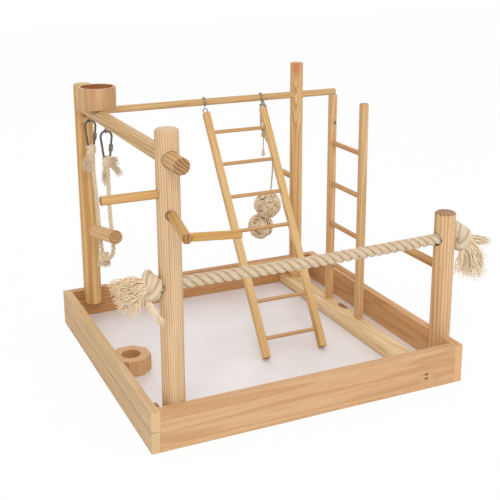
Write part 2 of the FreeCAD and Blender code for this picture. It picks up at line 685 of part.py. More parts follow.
# ---- hanging toy ------------------------------------------------------------------------------
def build_toy(top_bar):
    toy_x = BR_X - TOY_OVER
    pivot = V(toy_x, BAR_Y + TOY_BACK, BAR_Z - BAR_R - TOY_NECK - EYE_OUT_R - EYE_R)
    eye = screw_eye(pivot + UP * EYE_R, UP, RIGHT, TOY_SHANK)
    link, sleeve, way, low = quick_link(pivot, TOY_LINK_H, TOY_LINK_R)
    loop_r = LINK_WIRE_R + BODY_GAP + TOY_CORD_R
    loop = Part.makeTorus(loop_r, TOY_CORD_R, low, RIGHT)
    knot_top = low - UP * loop_r
    knot = bead(knot_top, UP * -1, TOY_KNOT_H, TOY_KNOT_R, TOY_KNOT_END_R)
    knot_low = knot_top - UP * TOY_KNOT_H
    tail = tuft(knot_low, knot_low - UP * TOY_TAIL_L, TOY_TAIL_R)
    knot_mid = knot_top - UP * (TOY_KNOT_H / 2)
    ball_at = knot_mid + V(BALL_OVER, 0, -BALL_DROP)
    route = [knot_mid + V(out, 0, -down) for out, down in TOY_BOW]
    route.append(ball_at + BALL_TIE)
    line = cord("toy_cord", route, TOY_CORD_R)
    save("toy_eye", eye)
    save("toy_link", link)
    save("toy_sleeve", sleeve)
    save("toy_tassel", joined([loop, knot, tail]).cut(line))
    save("toy_cord", line)
    save("toy_ball_upper", Part.makeSphere(BALL_R[0], ball_at).cut(line))
    second = ball_at + V(BALL_STEP[0], BALL_STEP[1], BALL_STEP[2])
    apart = (second - ball_at).Length
    print("ball spacing %.2f against %.2f; toy pivot %s low %s" % (apart, sum(BALL_R), pivot, low))
    print("toy knot", knot_mid, "upper ball", ball_at)
    save("toy_ball_lower", Part.makeSphere(BALL_R[1], second))
    return top_bar.cut(eye)


# ---- octagonal block --------------------------------------------------------------------------
def build_octagon():
    corner_r = OCT_FLATS / 2 / math.cos(math.pi / 8)
    base_z = PANEL_TOP + BODY_GAP
    points = []
    for i in range(9):
        turn = math.pi / 8 + math.pi / 4 * i
        points.append(V(OCT_X + corner_r * math.cos(turn), OCT_Y + corner_r * math.sin(turn), base_z))
    block = Part.Face(Part.makePolygon(points)).extrude(UP * OCT_H)
    centre = V(OCT_X, OCT_Y, base_z)
    save("octagonal_block", block.cut(rod(centre, centre + UP * OCT_H, OCT_HOLE_R)))


# ---- rope perch -------------------------------------------------------------------------------
def rope_y(x):
    return FL_Y + (FR_Y - FL_Y) * (x - FL_X) / (FR_X - FL_X)


def build_rope_perch():
    """Thick rope between the front posts, with a knot and a loose tuft outside each post."""
    places = [FL_X + (FR_X - FL_X) * share for share in ROPE_SHARE]
    places = [FL_X - ROPE_OUT[0]] + places + [FR_X + ROPE_OUT[1]]
    heights = [ROPE_Z] + [ROPE_Z - fall for fall in ROPE_FALL]
    route = [V(x, rope_y(x), z) for x, z in zip(places, heights)]
    rope = cord("rope_perch", route, ROPE_R)
    hole = cord("rope holes", route, ROPE_HOLE_R)
    print("rope route", [(round(p.x, 2), round(p.y, 2), round(p.z, 2)) for p in route])
    out_left = (route[0] - route[1]).normalize()
    out_right = (route[-1] - route[-2]).normalize()
    left_axis = V(FL_X, FL_Y, route[0].z)
    right_axis = V(FR_X, FR_Y, route[-1].z)
    left_from = left_axis + out_left * (FL_R + INSET)
    right_from = right_axis + out_right * (FR_R + INSET) - UP * KNOT_SAG
    knot_left = bead(left_from, out_left, LEFT_KNOT_L, LEFT_KNOT_R, LEFT_KNOT_END_R)
    knot_right = bead(right_from, out_right, RIGHT_KNOT_L, RIGHT_KNOT_R, RIGHT_KNOT_END_R)
    knot_left = knot_left.cut(rod(V(FL_X, FL_Y, 0), V(FL_X, FL_Y, LONG_Z), FL_R))
    knot_right = knot_right.cut(rod(V(FR_X, FR_Y, 0), V(FR_X, FR_Y, FR_TOP), FR_R))
    left_end = left_from + out_left * LEFT_KNOT_L
    right_end = right_from + out_right * RIGHT_KNOT_L
    left_tuft = tuft(left_end - out_left * TUFT_LAP, left_axis + LEFT_TUFT, LEFT_TUFT_R)
    tail_from = left_end - out_left * LOCK_BACK - UP * LOCK_BACK
    left_tail = tuft(tail_from, left_axis + LEFT_TAIL, LEFT_TAIL_R)
    right_tuft = tuft(right_end - (out_right + UP) * TUFT_LAP, right_axis + RIGHT_TUFT, RIGHT_TUFT_R)
    right_lock = tuft(right_end - out_right * LOCK_BACK, right_axis + RIGHT_LOCK, RIGHT_LOCK_R)
    right_tuft = joined([right_tuft, right_lock])
    left_tuft = joined([left_tuft, left_tail])
    save("rope_perch", rope)
    save("rope_knot_left", knot_left.cut(rope))
    save("rope_knot_right", knot_right.cut(rope))
    save("rope_tuft_left", left_tuft.cut(knot_left).cut(rope))
    save("rope_tuft_right", right_tuft.cut(knot_right).cut(rope))
    return rope, hole


long_perch, top_bar, cross_rail = build_posts_and_perches()
long_perch = build_cup(long_perch)
cross_rail = build_standing_ladder(cross_rail)
build_leaning_ladder()
long_perch = build_swing(long_perch)
top_bar = build_toy(top_bar)
build_octagon()
save("long_perch", long_perch)
save("top_bar", top_bar)
save("cross_rail", cross_rail)
save("wood_screws", Part.makeCompound(screws))

for name, shape in sorted(parts.items()):
    if not shape.isValid():
        raise ValueError(name + " is not a valid solid")
    shape.exportStep("parts/%s.step" % name)
    print("%-24s %2d solid(s) %9.1f mm3" % (name, len(shape.Solids), shape.Volume))
print(len(parts), "nodes")
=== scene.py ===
"""Dresses the parrot play stand: pine boards and round sticks, white panel, bamboo cup, twisted
cotton ropes with knots and frayed ends, woven balls, wire links and a plain studio.

Places are given in millimetres from the tray's outer front left floor corner, and at() turns them
into the stand's own frame.  Every other length is in metres, unless its comment says otherwise."""
import math
import random

import bmesh
import bpy
from bpy.props import FloatProperty, FloatVectorProperty, IntProperty, PointerProperty
from mathutils import Euler, Matrix, Quaternion, Vector


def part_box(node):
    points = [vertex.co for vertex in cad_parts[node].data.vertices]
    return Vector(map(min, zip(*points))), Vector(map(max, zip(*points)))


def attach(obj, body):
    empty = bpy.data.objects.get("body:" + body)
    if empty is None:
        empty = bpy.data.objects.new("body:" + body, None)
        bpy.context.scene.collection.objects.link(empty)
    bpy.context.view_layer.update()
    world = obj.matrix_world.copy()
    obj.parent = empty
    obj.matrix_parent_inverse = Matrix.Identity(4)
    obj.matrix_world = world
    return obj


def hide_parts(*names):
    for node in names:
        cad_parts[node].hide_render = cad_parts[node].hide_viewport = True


bl_info = {
    "name": "Parrot play stand",
    "version": (1, 0, 0),
    "blender": (4, 5, 0),
    "location": "3D View > Sidebar > Play Stand",
    "description": "Dresses a wooden play stand for a parrot",
    "category": "Object",
}

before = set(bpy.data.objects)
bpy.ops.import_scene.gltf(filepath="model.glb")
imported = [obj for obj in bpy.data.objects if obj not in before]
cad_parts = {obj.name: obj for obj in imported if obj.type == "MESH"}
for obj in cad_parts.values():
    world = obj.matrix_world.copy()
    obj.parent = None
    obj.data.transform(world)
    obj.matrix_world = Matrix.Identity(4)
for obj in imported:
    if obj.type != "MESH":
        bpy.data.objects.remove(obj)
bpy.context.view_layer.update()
MM = 0.001
PER_METRE = 1000      # millimetres
TRAY_CORNER = Vector((-0.250, -0.0065, 0.0))      # the tray's outer front left floor corner
UP = Vector((0, 0, 1))
EAST, NORTH, UPRIGHT = (1, 0, 0), (0, 1, 0), (0, 0, 1)     # ways that the grain can run
PHASES = 6.28         # a random phase lies between 0 and this, about a whole turn


def at(x, y, z):
    """A point in millimetres from the tray's corner, in the stand's frame in metres."""
    return TRAY_CORNER + Vector((x, y, z)) * MM


# ---- settings ----
def colour(name, description, default):
    return FloatVectorProperty(name=name, description=description, subtype="COLOR", size=3,
                               min=0, max=1, default=default)


def length(name, description, default):
    return FloatProperty(name=name, description=description, default=default, min=0,
                         subtype="DISTANCE", unit="LENGTH")


class TimberSettings(bpy.types.PropertyGroup):
    early: colour("Early wood", "Pale wood between the rings", (0.72, 0.505, 0.285))
    late: colour("Late wood", "Darker ring lines", (0.50, 0.275, 0.115))
    knot: colour("Knot", "Middle of a knot", (0.17, 0.065, 0.025))
    ring: length("Ring spacing", "Width of one year's ring", 0.0042)
    rough: FloatProperty(name="Roughness", description="Roughness of the sanded wood",
                         default=0.60, min=0, max=1)


class RopeSettings(bpy.types.PropertyGroup):
    fibre: colour("Cotton", "Colour of the clean yarn", (0.76, 0.625, 0.45))
    # painted shade: the colour that the hollows between yarns and strands are darkened to
    shade: colour("Cotton in hollows", "Colour between yarns", (0.42, 0.29, 0.17))
    perch_radius: length("Perch rope radius", "Radius of the thick rope", 0.0087)
    perch_lay: length("Perch rope lay", "Length of one turn of a strand", 0.041)
    swing_radius: length("Swing rope radius", "Radius of the swing's ropes", 0.0034)
    swing_lay: length("Swing rope lay", "Length of one turn of a strand", 0.0195)
    toy_radius: length("Toy cord radius", "Radius of the toy's cord", 0.0016)
    yarns: IntProperty(name="Tuft yarns", description="Yarns in each frayed end", default=330,
                       min=10)


class StageSettings(bpy.types.PropertyGroup):
    lens: FloatProperty(name="Lens", description="Focal length", default=66.1, min=10,
                        subtype="DISTANCE_CAMERA")
    floor: colour("Floor", "Colour of the plain floor", (0.95, 0.95, 0.95))


class StandSettings(bpy.types.PropertyGroup):
    timber: PointerProperty(type=TimberSettings)
    rope: PointerProperty(type=RopeSettings)
    stage: PointerProperty(type=StageSettings)


# ---- material building ----
def rgba(shade, gain=1.0):
    return (min(shade[0] * gain, 1), min(shade[1] * gain, 1), min(shade[2] * gain, 1), 1)


class Nodes:
    """A node tree under construction: short calls that add nodes and join them."""

    def __init__(self, owner):
        owner.use_nodes = True
        self.tree = owner.node_tree

    def add(self, kind, inputs, out=0, **settings):
        node = self.tree.nodes.new("ShaderNode" + kind)
        for key, value in settings.items():
            setattr(node, key, value)
        for key, value in inputs.items():
            self.put(node.inputs[key], value)
        return node.outputs[out]

    def put(self, socket, value):
        if isinstance(value, bpy.types.NodeSocket):
            self.tree.links.new(value, socket)
        else:
            socket.default_value = value

    def math(self, operation, a, b=0.0):
        return self.add("Math", {0: a, 1: b}, operation=operation)

    def seen(self):
        """1 where the camera sees the place itself, in a gloss or through a clear piece."""
        rays = self.tree.nodes.new("ShaderNodeLightPath").outputs
        direct = self.math("MAXIMUM", rays["Is Camera Ray"], rays["Is Glossy Ray"])
        return self.math("MAXIMUM", direct, rays["Is Transmission Ray"])


class Finish(Nodes):
    """A material under construction."""

    def __init__(self, name):
        self.material = bpy.data.materials.new(name)
        super().__init__(self.material)
        self.surface = self.tree.nodes["Principled BSDF"]

    def place(self):
        """The place on the stand, in its own frame."""
        return self.add("TexCoord", {}, out=3)

    def hollow(self):
        """How deep between yarns a place of a Skin lies; the materials darken it with painted
        shade.
        """
        return self.add("Attribute", {}, out=2, attribute_name="hollow")

    def noise(self, vector, scale, detail=2.0, roughness=0.5):
        return self.add("TexNoise", {"Vector": vector, "Scale": scale, "Detail": detail,
                                     "Roughness": roughness})

    def vector(self, operation, a, b):
        return self.add("VectorMath", {0: a, 1: b}, operation=operation)

    def size(self, vector):
        return self.add("VectorMath", {0: vector}, out=1, operation="LENGTH")

    def dot(self, a, b):
        return self.add("VectorMath", {0: a, 1: b}, out=1, operation="DOT_PRODUCT")

    def squeeze(self, vector, share):
        """Draws a pattern out along Z; with a share of 0 it doesn't change that way at all."""
        return self.vector("MULTIPLY", vector, (1, 1, share))

    def fade(self, value, low, high, to_low=0.0, to_high=1.0):
        """Changes smoothly from to_low to to_high as the value goes from low to high."""
        return self.add("MapRange", {0: value, 1: low, 2: high, 3: to_low, 4: to_high},
                        interpolation_type="SMOOTHSTEP")

    def mix(self, factor, a, b, blend="MIX"):
        return self.add("Mix", {0: factor, 6: a, 7: b}, out=2, data_type="RGBA", blend_type=blend)

    def tint(self, shade, factor, by):
        """Darkens a shade by a colour, as far as the factor says."""
        return self.mix(factor, shade, rgba(by), "MULTIPLY")

    def ramp(self, value, stops):
        node = self.tree.nodes.new("ShaderNodeValToRGB")
        elements = node.color_ramp.elements
        while len(elements) < len(stops):
            elements.new(0.5)
        for element, (place, shade) in zip(elements, stops):
            element.position = place
            element.color = (*shade, 1)
        self.put(node.inputs[0], value)
        return node.outputs[0]

    def bump(self, height, strength, distance):
        normal = self.add("Bump", {"Height": height, "Strength": strength, "Distance": distance})
        self.put(self.surface.inputs["Normal"], normal)

    def finish(self, **sockets):
        for key, value in sockets.items():
            self.put(self.surface.inputs[key.replace("_", " ")], value)
        return self.material


# ---- wood ----
CROSS_TILT = 0.7              # share of a board's tilt that it also has the other way
RING_MIDDLE = 0.22            # how far towards the late wood the middle of a ring is
FIBRE_TINT = (0.84, 0.76, 0.66)
BROAD_TINT = (0.91, 0.81, 0.66)
STREAK_TINT = (0.80, 0.60, 0.40)
CUT_RINGS = [(0.0, (0.70, 0.62, 0.58)), (0.5, (0.58, 0.48, 0.42)), (0.75, (0.28, 0.17, 0.11)),
             (1.0, (0.66, 0.56, 0.50))]
# colour of the painted shadow and grime in a seam's gap
JOINT_SHADOW_AND_DIRT = (0.20, 0.09, 0.04, 1)
# colour of the painted shadow round a hole
HOLE_SHADOW = (0.15, 0.07, 0.03, 1)
HOLE_RIM = (0.2, 1.3)         # millimetres past a hole's radius between which its rim of painted shadow fades


class Pine(Finish):
    """Wood in its own millimetres: the grain runs along Z and the pith is the Z axis."""

    def __init__(self, name, grain, pith, tilt):
        super().__init__(name)
        self.grain = Vector(grain).normalized()
        turn = self.grain.rotation_difference(UP).to_matrix()
        lean = Euler((math.radians(tilt), math.radians(tilt * CROSS_TILT), 0)).to_matrix()
        self.turn = lean @ turn
        self.shift = self.turn @ at(*pith) * -PER_METRE
        self.spot = self.place()
        self.along = self.add("Mapping", {"Vector": self.spot, "Location": self.shift,
                                          "Rotation": self.turn.to_euler(),
                                          "Scale": (PER_METRE, PER_METRE, PER_METRE)})

    def years(self, spacing, wander):
        """How many rings out from the pith a place is."""
        warp = self.noise(self.squeeze(self.along, 0.045), 0.035)
        years = self.math("DIVIDE", self.size(self.squeeze(self.along, 0)), spacing)
        return self.math("ADD", years, self.math("MULTIPLY", warp, wander))

    def knot(self, place, tall, wide):
        """How many knots' radii a place is from a knot, along an uneven edge."""
        centre = self.turn @ at(*place) * PER_METRE + self.shift
        offset = self.vector("SUBTRACT", self.along, centre)
        shaped = self.vector("MULTIPLY", offset, (1 / wide, 1 / wide, 1 / tall))
        coarse = self.vector("MULTIPLY", offset, (0.25, 0.25, 0.25))
        edge = self.noise(self.vector("ADD", coarse, (0.3, 0.1, 0.6)), 1.1)
        return self.math("ADD", self.size(shaped), self.math("MULTIPLY", edge, 0.35))

    def figure(self, phase, fibre, early, late, mottle):
        """Colour along the grain: the rings, then fibres, broad patches and streaks."""
        shade = self.ramp(phase, [(0.0, early), (0.45, early.lerp(late, RING_MIDDLE)), (0.78, late),
                                  (0.90, late), (1.0, early)])
        shade = self.tint(shade, self.fade(fibre, 0.30, 0.70, 0.0, 0.6), FIBRE_TINT)
        broad = self.noise(self.squeeze(self.along, 0.15), 0.022)
        shade = self.tint(shade, self.fade(broad, 0.35, 0.65, 0.0, 0.6 * mottle), BROAD_TINT)
        streak = self.noise(self.squeeze(self.along, 0.012), 0.30, 3.0, 0.6)
        return self.tint(shade, self.fade(streak, 0.50, 0.72, 0.0, 0.5 * mottle), STREAK_TINT)

    def joint(self, shade, height, end_grain):
        """Painted shadow in a level joint's gap, with grime, strongest towards the front and none
        on the cut ends.
        """
        rise = self.math("SUBTRACT", self.add("SeparateXYZ", {0: self.spot}, out=2), height * MM)
        shadow_and_dirt = self.fade(self.math("ABSOLUTE", rise), 0.0003, 0.0010, 0.8, 0.0)
        back = self.add("SeparateXYZ", {0: self.spot}, out=1)
        shadow_and_dirt = self.math("MULTIPLY", shadow_and_dirt, self.fade(back, 0.10, 0.26, 1.0, 0.15))
        shadow_and_dirt = self.math("MULTIPLY", shadow_and_dirt, self.math("SUBTRACT", 1.0, end_grain))
        return self.mix(shadow_and_dirt, shade, JOINT_SHADOW_AND_DIRT)

    def hole(self, shade, place, way, radius):
        """Painted shadow as a dark rim round a hole, on the side that its way points to."""
        offset = self.vector("SUBTRACT", self.spot, at(*place))
        far = self.size(self.vector("CROSS_PRODUCT", offset, Vector(way).normalized()))
        inner, outer = [(radius + past) * MM for past in HOLE_RIM]
        rim = self.fade(far, inner, outer, 0.85, 0.0)
        ahead = self.fade(self.dot(offset, way), 0.0, 0.004)
        return self.mix(self.math("MULTIPLY", rim, ahead), shade, HOLE_SHADOW)


def timber(name, grain, pith, tone, knots=(), tilt=0.6, ring=None, contrast=0.8, cut=0.9,
           wander=5.5, mottle=1.0, seam=None, holes=()):
    """Solid pine: year rings round a pith line along the grain, fibres and knots.

    pith is a place on that line, tone tints the wood, and ring is a ring's width in metres.  cut
    says how strong the rings are on cut ends, wander how far they stray, mottle how patchy the
    colour is, and seam is the height of a joint darkened with painted shadow and grime, in
    millimetres.  A knot is (place, radius along the grain, radius across it, colour or None), and
    a hole with a rim of painted shadow is (place inside, way out, radius), with radii in
    millimetres."""
    look = bpy.context.scene.play_stand.timber
    pine = Pine(name, grain, pith, tilt)
    years = pine.years((ring or look.ring) * PER_METRE, wander)
    marks = []
    for place, tall, wide, tint in knots:
        far = pine.knot(place, tall, wide)
        years = pine.math("ADD", years, pine.fade(far, 0.6, 3.6, 2.6, 0.0))
        marks.append((pine.fade(far, 0.75, 1.4, 1.0, 0.0), tint or look.knot))
    phase = pine.math("FRACT", years)
    early, late = Vector(look.early) * Vector(tone), Vector(look.late) * Vector(tone)
    late = early.lerp(late, contrast)
    fibre = pine.noise(pine.squeeze(pine.along, 0.02), 1.3, 4.0, 0.65)
    shade = pine.figure(phase, fibre, early, late, mottle)
    facing = pine.dot(pine.add("TexCoord", {}, out=1), pine.grain)
    end_grain = pine.fade(pine.math("ABSOLUTE", facing), 0.45, 0.75)
    plain = rgba(early.lerp(late, RING_MIDDLE))
    shade = pine.mix(pine.math("MULTIPLY", end_grain, 1 - cut), shade, plain)
    cut_rings = pine.ramp(phase, CUT_RINGS)
    shade = pine.mix(pine.math("MULTIPLY", end_grain, cut), shade, cut_rings, "MULTIPLY")
    for share, tint in marks:
        shade = pine.mix(share, shade, rgba(tint))
    # a dark line of painted shadow and grime along the seam
    if seam is not None:
        shade = pine.joint(shade, seam, end_grain)
    # rims of painted shadow round holes
    for place, way, radius in holes:
        shade = pine.hole(shade, place, way, radius)
    height = pine.math("ADD", pine.math("MULTIPLY", phase, 0.25), pine.math("MULTIPLY", fibre, 0.9))
    pine.bump(height, 0.30, 0.0004)
    rough = pine.fade(fibre, 0.3, 0.7, look.rough - 0.08, look.rough + 0.08)
    return pine.finish(Base_Color=shade, Roughness=rough)


def paint(material, *nodes):
    """Puts a material on whole CAD nodes, through their objects' slots."""
    for name in nodes:
        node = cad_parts[name]
        if not node.material_slots:
            node.data.materials.append(None)
        for slot in node.material_slots:
            slot.link = "OBJECT"
            slot.material = material


def cotton(name, gain, warm=0.0):
    """Cotton yarn, lighter or darker by gain and yellower by warm, with painted shade between yarns
    and strands.
    """
    look = bpy.context.scene.play_stand.rope
    yarn = Finish(name)
    place = yarn.place()
    speck = yarn.noise(place, 900.0, 3.0, 0.6)
    drift = yarn.noise(place, 45.0)
    red, green, blue = Vector(look.fibre) * gain
    clean = rgba((red, green * (1 - warm), blue * (1 - 2 * warm)))
    # painted shade in the hollows between yarns and strands
    shade = yarn.mix(yarn.fade(yarn.hollow(), 0.1, 1.0, 0.0, 0.85), clean, rgba(look.shade, gain))
    shade = yarn.tint(shade, yarn.fade(speck, 0.3, 0.7, 0.0, 0.5), (0.82, 0.78, 0.70))
    shade = yarn.tint(shade, yarn.fade(drift, 0.4, 0.65, 0.0, 0.5), (0.94, 0.86, 0.75))
    yarn.bump(speck, 0.35, 0.0003)
    return yarn.finish(Base_Color=shade, Roughness=0.92, Sheen_Weight=0.25, Sheen_Roughness=0.5)


def steel(name, shade, rough, metallic=1.0):
    """Plain or dulled metal with worn patches."""
    metal = Finish(name)
    place = metal.place()
    patch = metal.noise(place, 160.0, 3.0, 0.6)
    fine = metal.noise(place, 1400.0, 2.0, 0.6)
    tone = metal.mix(metal.fade(patch, 0.35, 0.65, 0.0, 0.6), rgba(shade), rgba(shade, 0.55))
    metal.bump(fine, 0.2, 0.0001)
    wear = metal.fade(patch, 0.3, 0.7, rough - 0.08, rough + 0.12)
    return metal.finish(Base_Color=tone, Metallic=metallic, Roughness=wear)


# ---- mesh building ----
def link(data, body):
    """Adds a finished mesh as a piece of the stand, under the mesh's name."""
    piece = bpy.data.objects.new(data.name, data)
    bpy.context.scene.collection.objects.link(piece)
    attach(piece, body)
    return piece


def smooth_line(route):
    """Points of the smooth spline that has the route as its control points."""
    curve = bpy.data.curves.new("route", "CURVE")
    curve.dimensions = "3D"
    curve.resolution_u = 24
    spline = curve.splines.new("NURBS")
    spline.points.add(len(route) - 1)
    for point, place in zip(spline.points, route):
        point.co = (*place, 1)
    spline.order_u = 3
    spline.use_endpoint_u = True
    carrier = bpy.data.objects.new("route", curve)
    bpy.context.scene.collection.objects.link(carrier)
    graph = bpy.context.evaluated_depsgraph_get()
    mesh = bpy.data.meshes.new_from_object(carrier.evaluated_get(graph))
    points = [vertex.co.copy() for vertex in mesh.vertices]
    bpy.data.objects.remove(carrier)
    bpy.data.curves.remove(curve)
    bpy.data.meshes.remove(mesh)
    return points


def even(points, step):
    """The same line with its points a step apart."""
    places = [points[0]]
    spare = 0.0
    for before, after in zip(points, points[1:]):
        run = (after - before).length
        if run < 1e-9:
            continue
        walked = step - spare
        while walked <= run:
            places.append(before.lerp(after, walked / run))
            walked += step
        spare = run - (walked - step)
    if (places[-1] - points[-1]).length > step * 0.3:
        places.append(points[-1].copy())
    return places


def laid_line(route, step):
    """A smooth line along a route in millimetres, with its points a step apart."""
    return even(smooth_line([at(*place) for place in route]), step)


def carried_frames(points, closed=False):
    """A tangent and a normal at each point, carried along without twist."""
    count = len(points)
    tangents = []
    for i in range(count):
        if closed:
            way = points[(i + 1) % count] - points[i - 1]
        else:
            way = points[min(i + 1, count - 1)] - points[max(i - 1, 0)]
        tangents.append(way.normalized())
    side = tangents[0].orthogonal().normalized()
    sides = [side]
    for before, after in zip(tangents, tangents[1:]):
        side = before.rotation_difference(after) @ side
        side = (side - after * side.dot(after)).normalized()
        sides.append(side)
    if closed:
        end = tangents[-1].rotation_difference(tangents[0]) @ sides[-1]
        slip = math.atan2(end.dot(tangents[0].cross(sides[0])), end.dot(sides[0]))
        for i in range(count):
            sides[i] = Quaternion(tangents[i], -slip * i / count) @ sides[i]
    return tangents, sides


class Skin:
    """Collects tubes into one mesh with a hollow value at each vertex, which the materials turn
    into painted shade.
    """

    RIDGE_HOLLOW = 0.25       # hollow value at the bottom of a groove between ridges
    PLAIN_HOLLOW = 0.15       # hollow value of a tube without ridges
    OUTSIDE = 0.98            # share of a rope's radius outside which a strand gets no painted shade

    def __init__(self):
        self.points = []
        self.faces = []
        self.hollow = []

    def tube(self, centres, radius, sides=8, ridges=0, depth=0.0, turn=0.0, closed=False,
             taper=None, around=None, gloom=2.6):
        """Adds one tube, with ridges that turn along it; around is (middle line, radius) of the
        rope that it is a strand of, and gloom says how fast its painted shade deepens towards that
        line."""
        tangents, normals = carried_frames(centres, closed)
        first = len(self.points)
        count = len(centres)
        for i, (centre, tangent, side) in enumerate(zip(centres, tangents, normals)):
            other = tangent.cross(side)
            size = radius * (taper(i / (count - 1)) if taper else 1.0)
            for k in range(sides):
                angle = 2 * math.pi * k / sides
                dip = (1 - math.cos(ridges * angle + turn * i)) / 2 if ridges else 0.0
                reach = size * (1 - depth * dip * dip)
                spot = centre + (side * math.cos(angle) + other * math.sin(angle)) * reach
                self.points.append(spot)
                deep = self.RIDGE_HOLLOW * dip * dip if ridges else self.PLAIN_HOLLOW
                if around:
                    sunk = self.OUTSIDE - (spot - around[0][i]).length / around[1]
                    deep += max(sunk, 0.0) * gloom
                self.hollow.append(min(deep, 1.0))
        for i in range(count if closed else count - 1):
            here = first + i * sides
            there = first + ((i + 1) % count) * sides
            for k in range(sides):
                after = (k + 1) % sides
                self.faces.append((here + k, here + after, there + after, there + k))
        if not closed:
            self.faces.append(tuple(first + k for k in reversed(range(sides))))
            self.faces.append(tuple(first + (count - 1) * sides + k for k in range(sides)))

    def mesh(self, name, material):
        data = bpy.data.meshes.new(name)
        data.from_pydata([tuple(p) for p in self.points], [], self.faces)
        data.polygons.foreach_set("use_smooth", [True] * len(data.polygons))
        values = data.attributes.new("hollow", "FLOAT", "POINT")
        values.data.foreach_set("value", self.hollow)
        data.materials.append(material)
        data.validate()
        return data


STRAND_SWELL = 1.04   # strands press into each other by this much
YARN_LAY = 0.75       # a strand's own yarns turn once in this share of the rope's lay
FUZZ_R = 0.00009
FUZZ_ROOT = 0.9       # share of the rope's radius at which a loose fibre starts
FUZZ_BEND = 0.55      # share of a loose fibre's length that stands before it bends
KNOT_POINTS = 150
TUFT_STEP = 0.003


def lay_rope(skin, points, radius, lay, strands=3, closed=False, yarns=7, sides=28, depth=0.05,
             fat=0.50, gloom=2.6):
    """Twists strands round a line of evenly spaced points; lay is the length of one turn, and
    fat is a strand's radius as a share of the rope's."""
    step = (points[1] - points[0]).length
    strand_r = radius * fat
    offset = radius - strand_r
    count = len(points)
    turns = count * step / lay
    yarn_turn = 2 * math.pi * step / (lay * YARN_LAY)
    if closed:
        turns = max(1, round(turns))
        yarn_turn = 2 * math.pi * max(1, round(yarn_turn * count / (2 * math.pi))) / count
    tangents, normals = carried_frames(points, closed)
    for strand in range(strands):
        centres = []
        for i in range(count):
            angle = 2 * math.pi * (strand / strands + turns * i / count)
            other = tangents[i].cross(normals[i])
            out = normals[i] * math.cos(angle) + other * math.sin(angle)
            centres.append(points[i] + out * offset)
        skin.tube(centres, strand_r * STRAND_SWELL, sides, yarns, depth, -yarn_turn, closed,
                  around=(points, radius), gloom=gloom)


def knot_line(centre, axis, up, reach, thick):
    """A knot's closed line: it goes round the axis twice and in and out three times."""
    axis = axis.normalized()
    up = (up - axis * up.dot(axis)).normalized()
    across = axis.cross(up)
    wide, tall = reach
    points = []
    for i in range(KNOT_POINTS):
        t = 2 * math.pi * i / KNOT_POINTS
        swell = 0.68 + 0.32 * math.cos(3 * t)
        points.append(centre + across * (wide * swell * math.cos(2 * t))
                      + up * (tall * swell * math.sin(2 * t)) + axis * (thick * math.sin(3 * t)))
    return points


def scatter_fuzz(skin, points, radius, count, reach, rng):
    """Short loose fibres that stand off a rope."""
    tangents, normals = carried_frames(points)
    for _ in range(count):
        i = rng.randrange(1, len(points) - 1)
        angle = rng.uniform(0, 2 * math.pi)
        out = normals[i] * math.cos(angle) + tangents[i].cross(normals[i]) * math.sin(angle)
        away = (out * rng.uniform(0.4, 1.0) + tangents[i] * rng.uniform(-1, 1)
                + Vector((rng.uniform(-0.3, 0.3), rng.uniform(-0.3, 0.3), rng.uniform(-0.3, 0.3))))
        away.normalize()
        root = points[i] + out * radius * FUZZ_ROOT
        fibre = reach * rng.uniform(0.4, 1.0)
        middle = root + away * fibre * FUZZ_BEND
        droop = (away + Vector((0, 0, rng.uniform(-0.9, 0.3)))).normalized()
        skin.tube([root, middle, middle + droop * fibre * (1 - FUZZ_BEND)], FUZZ_R, 3)


def tuft_yarns(skin, route, root_r, spread, count, rng, yarn_r=0.0007, curl=0.0016, short=0.55):
    """Loose yarns from a knot: they follow a route and fan out towards its end; short is the
    shortest yarn's share of the route."""
    line = laid_line(route, TUFT_STEP)
    tangents, normals = carried_frames(line)
    for _ in range(count):
        angle = rng.uniform(0, 2 * math.pi)
        part = math.sqrt(rng.random())
        stop = max(4, int(len(line) * rng.uniform(short, 1.0)))
        side_phase = rng.uniform(0, PHASES)
        other_phase = rng.uniform(0, PHASES)
        wild = rng.uniform(0.6, 1.6)
        places = []
        for i in range(stop):
            gone = i / (len(line) - 1)
            other = tangents[i].cross(normals[i])
            reach = (root_r + (spread - root_r) * min(1.0, gone * 1.15) ** 0.8) * part
            sway = curl * wild * gone * 1.8
            side_by = math.cos(angle) * reach + sway * math.sin(i * 0.55 + side_phase)
            other_by = math.sin(angle) * reach + sway * math.cos(i * 0.47 + other_phase)
            places.append(line[i] + normals[i] * side_by + other * other_by)
        size = yarn_r * rng.uniform(0.65, 1.25)
        skin.tube(places, size, 5, taper=lambda gone: 1.0 - 0.55 * gone)


# ---- boards and sticks ----
LEFT_POST, RIGHT_POST = (43, 28.8), (493, 50)     # middles of the front posts
ROPE_WAY = (1, 0.047, 0)
ARM_WAY, TIP_WAY = (-0.174, -0.985, 0), (0.97, -0.24, 0)
LEAN_WAY = (0, -287, -364)
SWING_WAY = (0, 66, -14.1)
NAIL_MARK = (0.20, 0.085, 0.035)
QUIET = {"contrast": 0.55}
# seam: height of a joint on the left side, darkened with painted shadow and grime
LEFT_SIDE = {"contrast": 0.35, "mottle": 0.5, "ring": 0.006, "cut": 0.05, "seam": 31.5}
LEAN_RAIL = {"contrast": 0.9, "mottle": 1.4}

